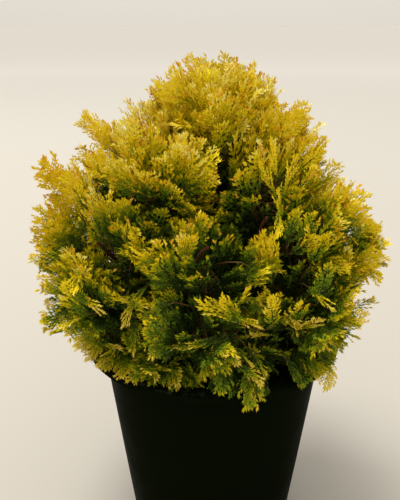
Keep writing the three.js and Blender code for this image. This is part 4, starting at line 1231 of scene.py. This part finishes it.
class CYPRESS_OT_foliage(bpy.types.Operator):
    """Grow twigs, fronds, sprigs and leaflets on from the limbs"""

    bl_idname = "cypress.foliage"
    bl_label = "Foliage"

    def execute(self, context):
        plant, pot = context.scene.cypress_plant, context.scene.cypress_pot
        longest = plant.frond_length / MM
        patterns = [frond_pattern(FROND_SEED + k) for k in range(FROND_KINDS)]
        patterns += [frond_pattern(PLAIN_SEED + k, PLAIN_STEP, PLAIN_SIZE) for k in range(PLAIN_KINDS)]
        patterns += [frond_pattern(PROUD_SEED + k, size=PROUD_SIZE) for k in range(PLAIN_KINDS)]
        numbers = np.random.default_rng(SEED)
        tinted = [[] for _ in FOLIAGE_TINTS]
        twigs = []
        for mass in foliage_masses():
            tufts = tuft_rows(mass, longest)
            shoots, shoot_twigs = shoot_rows(mass, longest)
            single = inner_rows(mass, longest, plant.inner_fronds) + free_rows(mass, longest)
            single += fringe_rows(mass, longest) + collar_rows(mass, longest) + accent_rows(mass)
            rows = [row for _, tuft in tufts for row in tuft] + shoots + single + limb_rows(mass, longest)
            grow(rows, mass, patterns, pot, numbers, tinted)
            twigs.extend(twig_tubes(mass, tufts, single, shoot_twigs))
        for (tint, colour), quads in zip(FOLIAGE_TINTS.items(), map(np.concatenate, tinted)):
            if len(quads):
                material, *_ = new_material(f"foliage_{tint}", colour, 0.6, 0.06)
                leaflet_pieces(f"foliage_{tint}", quads, material)
        points, faces = joined(twigs)
        piece = mesh_from_arrays("twigs", points * MM, faces)
        finish_piece(piece, "twigs", twig_material())
        return {"FINISHED"}


# Pot and potting mix

HUB_RADIUS = 20 * MM
DRAIN_HOLES, DRAIN_RADIUS, DRAIN_CIRCLE = 6, 6 * MM, 62 * MM


class CYPRESS_OT_pot(bpy.types.Operator):
    """Model the tapering pot with its rolled rim and drain holes"""

    bl_idname = "cypress.pot"
    bl_label = "Pot"

    def execute(self, context):
        s = context.scene.cypress_pot

        def body(height):
            return s.base_radius + (s.body_radius - s.base_radius) * height / POT_HEIGHT

        foot, third = s.base_radius, POT_HEIGHT * 0.33
        under, edge = POT_HEIGHT - s.rim_thickness, POT_HEIGHT - s.rim_drop
        rim_in, mouth = RIM_RADIUS - s.rim_thickness, body(POT_HEIGHT) - s.wall

        # Radius and height, each with some millimetres more, up the outside, over the rim and down the inside
        profile = (
            (foot, -2.5, 0, 0), (foot, -0.8, 0, 0.7), (foot, 0, 0, 2.4), (body(third), 0, third, 0),
            (body(2 * third), 0, 2 * third, 0), (body(edge - 6 * MM), 0, edge, -6), (body(under), 0, under, -1.5),
            (body(under), 2, under, 0), (rim_in, -1, under, 0), (rim_in, 0, under, -1), (rim_in, 0, edge, 0.6),
            (rim_in, 0.6, edge, 0), (RIM_RADIUS, -0.6, edge, 0), (RIM_RADIUS, 0, edge, 0.6),
            (RIM_RADIUS, 0, POT_HEIGHT, -2.2), (RIM_RADIUS, -0.7, POT_HEIGHT, -0.7),
            (RIM_RADIUS, -2.2, POT_HEIGHT, 0), (mouth, 2, POT_HEIGHT, 0), (mouth, 0.5, POT_HEIGHT, -0.6),
            (mouth, 0, POT_HEIGHT, -2.2),
            (body(POT_HEIGHT / 2) - s.wall, 0, POT_HEIGHT / 2, 0), (body(s.floor) - s.wall, 0, s.floor, 2),
            (body(s.floor) - s.wall, -2, s.floor, 0), (HUB_RADIUS, 0, s.floor, 0))
        deselect()
        bpy.ops.mesh.primitive_circle_add(vertices=s.sides, radius=HUB_RADIUS, fill_type="NGON", location=(0, 0, 0))
        pot = context.object
        bpy.ops.object.mode_set(mode="EDIT")
        bpy.ops.mesh.select_all(action="SELECT")
        bpy.ops.mesh.region_to_loop()
        last_radius, last_height = HUB_RADIUS, 0.0
        for radius, wider, height, higher in profile:
            radius, height = radius + wider * MM, height + higher * MM
            bpy.ops.mesh.extrude_edges_move(TRANSFORM_OT_translate={"value": (0, 0, height - last_height)})
            grow_by = radius / last_radius
            bpy.ops.transform.resize(value=(grow_by, grow_by, 1), center_override=(0, 0, 0))
            last_radius, last_height = radius, height
        bpy.ops.mesh.edge_face_add()
        bpy.ops.object.mode_set(mode="OBJECT")
        turn_outward(pot)
        for k in range(DRAIN_HOLES):
            place = direction_at(360 * k / DRAIN_HOLES, 0) * DRAIN_CIRCLE
            bpy.ops.mesh.primitive_cylinder_add(vertices=32, radius=DRAIN_RADIUS, depth=4 * s.floor, location=place)
            drill = context.object
            cut = pot.modifiers.new("drain", "BOOLEAN")
            cut.object = drill
            cut.solver = "EXACT"
            apply_modifiers(pot)
            bpy.data.objects.remove(drill)
        only(pot)
        bpy.ops.object.shade_smooth_by_angle(angle=math.radians(35))
        settle(pot)
        finish_piece(pot, "nursery_pot", black_plastic(s), ["pot"])
        return {"FINISHED"}


SOIL_GAP, SOIL_CROWN, SOIL_FALL, SOIL_DEPTH, SOIL_TAPER = 0.4 * MM, 1.2 * MM, 3.2 * MM, 40 * MM, 0.955
SOIL_WAVES, SOIL_SEED = 40, 31
CHIPS, CHIP_SEED, CHIP_LEAN, CHIP_SUNK = 420, 77, 0.35, 0.6 * MM


class CYPRESS_OT_potting_mix(bpy.types.Operator):
    """Fill the pot with uneven potting mix and scatter bark chips on it"""

    bl_idname = "cypress.potting_mix"
    bl_label = "Potting mix"

    def execute(self, context):
        inner = SOIL_CORNER.x - SOIL_GAP
        deselect()
        bpy.ops.mesh.primitive_circle_add(vertices=96, radius=inner, fill_type="TRIFAN",
                                          location=(0, 0, SOIL_TOP - 5 * MM))
        soil = context.object
        bpy.ops.object.mode_set(mode="EDIT")
        bpy.ops.mesh.select_all(action="SELECT")
        bpy.ops.mesh.subdivide(number_cuts=12)
        bpy.ops.mesh.region_to_loop()
        bpy.ops.mesh.extrude_edges_move(TRANSFORM_OT_translate={"value": (0, 0, -SOIL_DEPTH)})
        bpy.ops.transform.resize(value=(SOIL_TAPER, SOIL_TAPER, 1), center_override=(0, 0, 0))
        bpy.ops.mesh.edge_face_add()
        bpy.ops.object.mode_set(mode="OBJECT")
        settle(soil)
        numbers = np.random.default_rng(SOIL_SEED)
        waves = [(numbers.uniform(60, 520), numbers.uniform(0, TAU), numbers.uniform(0, TAU))
                 for _ in range(SOIL_WAVES)]
        for vertex in soil.data.vertices:
            x, y, z = vertex.co
            if z < SOIL_TOP - SOIL_DEPTH / 2:
                continue
            radius = math.hypot(x, y)
            share = radius / inner
            bumps = sum(math.sin(many * (x * math.cos(way) + y * math.sin(way)) + shift) * 20 / many
                        for many, way, shift in waves) * MM
            calm = min(1.0, radius / (18 * MM)) * (1 - share ** 8 * 0.5)
            vertex.co.z = SOIL_TOP - SOIL_FALL * share ** 2 - SOIL_CROWN + bumps * calm
        turn_outward(soil)
        only(soil)
        bpy.ops.object.shade_smooth()
        mix = potting_mix_material(context.scene.cypress_plant)
        finish_piece(soil, "potting_mix_surface", mix, ["potting_mix"])
        self.scatter_chips(inner)
        return {"FINISHED"}

    def scatter_chips(self, inner):
        """Flat angular chips lying on the mix, as one mesh."""
        numbers = np.random.default_rng(CHIP_SEED)
        box = np.array([[-1, -1, -1], [1, -1, -1], [1, 1, -1], [-1, 1, -1],
                        [-1, -1, 1], [1, -1, 1], [1, 1, 1], [-1, 1, 1]], float) / 2
        sides = np.array([[0, 3, 2, 1], [4, 5, 6, 7], [0, 1, 5, 4], [1, 2, 6, 5], [2, 3, 7, 6], [3, 0, 4, 7]])
        parts = []
        for _ in range(CHIPS):
            radius = inner * 0.97 * math.sqrt(numbers.uniform(0.02, 1))
            angle = numbers.uniform(0, TAU)
            size = np.array([numbers.uniform(4, 11), numbers.uniform(2.5, 6), numbers.uniform(1.2, 3)]) * MM
            shape = box * size * numbers.uniform(0.7, 1.15, (8, 3))
            spin, lean = numbers.uniform(0, TAU), numbers.uniform(-CHIP_LEAN, CHIP_LEAN)
            turn = np.array([[math.cos(spin), -math.sin(spin), 0], [math.sin(spin), math.cos(spin), 0], [0, 0, 1]])
            tip = np.array([[1, 0, 0], [0, math.cos(lean), -math.sin(lean)], [0, math.sin(lean), math.cos(lean)]])
            place = np.array([radius * math.cos(angle), radius * math.sin(angle),
                              SOIL_TOP - SOIL_FALL * (radius / inner) ** 2 - CHIP_SUNK])
            parts.append((shape @ (turn @ tip).T + place, sides))
        points, faces = joined(parts)
        chips = mesh_from_arrays("bark_chips", points, faces, smooth=False)
        finish_piece(chips, "bark_chips", bark_chips_with_painted_shade())


# Limbs

# Boughs seen between the sprays: height on the trunk, foot radius, then places on the plant
SEEN_BOUGHS = (
    (52, 2.3, (204, 96, 88), (209, 106, 100), (211, 116, 112)),
    (84, 1.4, (297, 78, 119), (295, 88, 133), (295, 96, 143)),
    (72, 1.5, (261, 104, 109), (264, 112, 122), (267, 118, 129)),
)
SEEN_BOUGH_TIP = 1.6
SKIN_VOXEL, BARK_RELIEF, BARK_GRAIN = 1.0 * MM, 0.9 * MM, 0.004


class CYPRESS_OT_limbs(bpy.types.Operator):
    """Grow the trunk and boughs as one skin with the bark's relief"""

    bl_idname = "cypress.limbs"
    bl_label = "Trunk and boughs"

    def execute(self, context):
        share = np.linspace(0, 1, 40)
        points = trunk_points(share)
        radii = TRUNK_TIP_RADIUS + (TRUNK_BASE_RADIUS - TRUNK_TIP_RADIUS) * (1 - share) ** TRUNK_TAPER
        radii = radii + ROOT_FLARE * np.exp(-(points[:, 2] - SOIL_TOP_MM) / ROOT_FLARE_HEIGHT)
        parts = [tube(points, radii, 16)]
        radii = np.linspace(BOUGH_BASE_RADIUS, BOUGH_TIP_RADIUS, 16) + np.exp(-np.linspace(0, 6, 16)) * BOUGH_COLLAR
        for mass in foliage_masses():
            if mass.bough:
                parts.append(tube(bough_points(mass, np.linspace(0, 1, 16)), radii, 10))
        for height, thick, *places in SEEN_BOUGHS:
            line = [trunk_at_height(POT_TOP_MM + height)] + [on_plant(*place) for place in places]
            parts.append(tube(through(line, 20), np.linspace(thick, SEEN_BOUGH_TIP, 20), 10))
        points, faces = joined(parts)
        limbs = mesh_from_arrays("trunk_and_boughs", points * MM, faces)
        turn_outward(limbs)
        only(limbs)
        fuse = limbs.modifiers.new("fuse", "REMESH")
        fuse.mode = "VOXEL"
        fuse.voxel_size = SKIN_VOXEL
        limbs.modifiers.new("soften", "SMOOTH").iterations = 3
        relief = limbs.modifiers.new("bark", "DISPLACE")
        relief.texture = bpy.data.textures.new("bark_relief", "CLOUDS")
        relief.texture.noise_scale = BARK_GRAIN
        relief.texture.noise_depth = 3
        relief.texture_coords = "LOCAL"
        relief.strength = BARK_RELIEF
        relief.mid_level = 0.5
        apply_modifiers(limbs)
        bpy.ops.object.shade_smooth()
        finish_piece(limbs, "trunk_and_boughs", bark_material(context.scene.cypress_plant), LIMB_NODES)
        return {"FINISHED"}


# Stage

CAMERA_PITCH, CAMERA_AWAY, CAMERA_ABOVE_RIM = 20.5, 4.33, 2.28
FOCAL_PIXELS, PICTURE_HEIGHT, SENSOR = 600, 500, 36
POT_COLUMN_OFFSET, PLANT_DEPTH = 12, 0.62


class CYPRESS_OT_stage(bpy.types.Operator):
    """Set the pale floor, the soft lights and the camera at the photograph's viewing angle"""

    bl_idname = "cypress.stage"
    bl_label = "Stage"

    def execute(self, context):
        s = context.scene.cypress_stage
        deselect()
        bpy.ops.mesh.primitive_circle_add(vertices=128, radius=s.floor_size, fill_type="NGON")
        floor = context.object
        floor.name = "floor"
        floor.data.materials.append(floor_material(s))

        world = bpy.data.worlds.new("soft_room")
        world.use_nodes = True
        tree = world.node_tree
        way = add_node(tree, "TexCoord", {}, "Generated")
        upward = add_node(tree, "VectorMath", {0: way, 1: (0.0, 0.3, 0.6)}, "Value", operation="DOT_PRODUCT")
        shift = add_node(tree, "Math", {0: upward, 1: 0.4})
        tones = ramp(tree, shift, (0.0, (165, 161, 153)), (0.7, (221, 215, 203)), (1.0, (255, 253, 248)))
        fill(tree.nodes["Background"], {"Color": tones, "Strength": s.room_strength})
        context.scene.world = world

        self.area("key_light", (-1.2, 0.2, 4.6), 2.2, s.key_power, (1.0, 0.97, 0.92))
        self.area("fill_light", (0.3, -2.4, 1.3), 2.4, s.fill_power, (1.0, 0.99, 0.96))

        bpy.ops.object.camera_add(rotation=(math.radians(90 - CAMERA_PITCH), 0, 0))
        camera = context.object
        camera.name = "photo_view"
        camera.location = (-POT_COLUMN_OFFSET / FOCAL_PIXELS * PLANT_DEPTH, -CAMERA_AWAY * RIM_RADIUS,
                           POT_HEIGHT + CAMERA_ABOVE_RIM * RIM_RADIUS)
        camera.data.sensor_width = SENSOR
        camera.data.lens = SENSOR * FOCAL_PIXELS / PICTURE_HEIGHT
        context.scene.camera = camera
        context.scene.view_settings.view_transform = "Standard"
        return {"FINISHED"}

    def area(self, name, place, size, power, colour):
        """A soft square light that looks at the plant."""
        bpy.ops.object.light_add(type="AREA", location=place)
        light = bpy.context.object
        light.name = name
        light.data.size = size
        light.data.energy = power
        light.data.color = colour
        aim = Vector((0, 0, 0.3)) - Vector(place)
        light.rotation_euler = aim.to_track_quat("-Z", "Y").to_euler()


class CYPRESS_PT_sidebar(bpy.types.Panel):
    bl_label = "Potted cypress"
    bl_idname = "CYPRESS_PT_sidebar"
    bl_space_type = "VIEW_3D"
    bl_region_type = "UI"
    bl_category = "Cypress"

    def draw(self, context):
        for group in (context.scene.cypress_pot, context.scene.cypress_plant, context.scene.cypress_stage):
            for name in group.bl_rna.properties.keys():
                if name not in ("name", "rna_type"):
                    self.layout.prop(group, name)
        for operator in OPERATORS:
            self.layout.operator(operator.bl_idname)


OPERATORS = (CYPRESS_OT_pot, CYPRESS_OT_potting_mix, CYPRESS_OT_limbs, CYPRESS_OT_foliage, CYPRESS_OT_stage)
CLASSES = (PotSettings, PlantSettings, StageSettings, *OPERATORS, CYPRESS_PT_sidebar)


def register():
    for one in CLASSES:
        bpy.utils.register_class(one)
    bpy.types.Scene.cypress_pot = PointerProperty(type=PotSettings)
    bpy.types.Scene.cypress_plant = PointerProperty(type=PlantSettings)
    bpy.types.Scene.cypress_stage = PointerProperty(type=StageSettings)


def unregister():
    del bpy.types.Scene.cypress_stage
    del bpy.types.Scene.cypress_plant
    del bpy.types.Scene.cypress_pot
    for one in reversed(CLASSES):
        bpy.utils.unregister_class(one)


def main():
    register()
    bpy.ops.cypress.pot()
    bpy.ops.cypress.potting_mix()
    bpy.ops.cypress.limbs()
    bpy.ops.cypress.foliage()
    bpy.ops.cypress.stage()


if __name__ == "__main__":
    main()
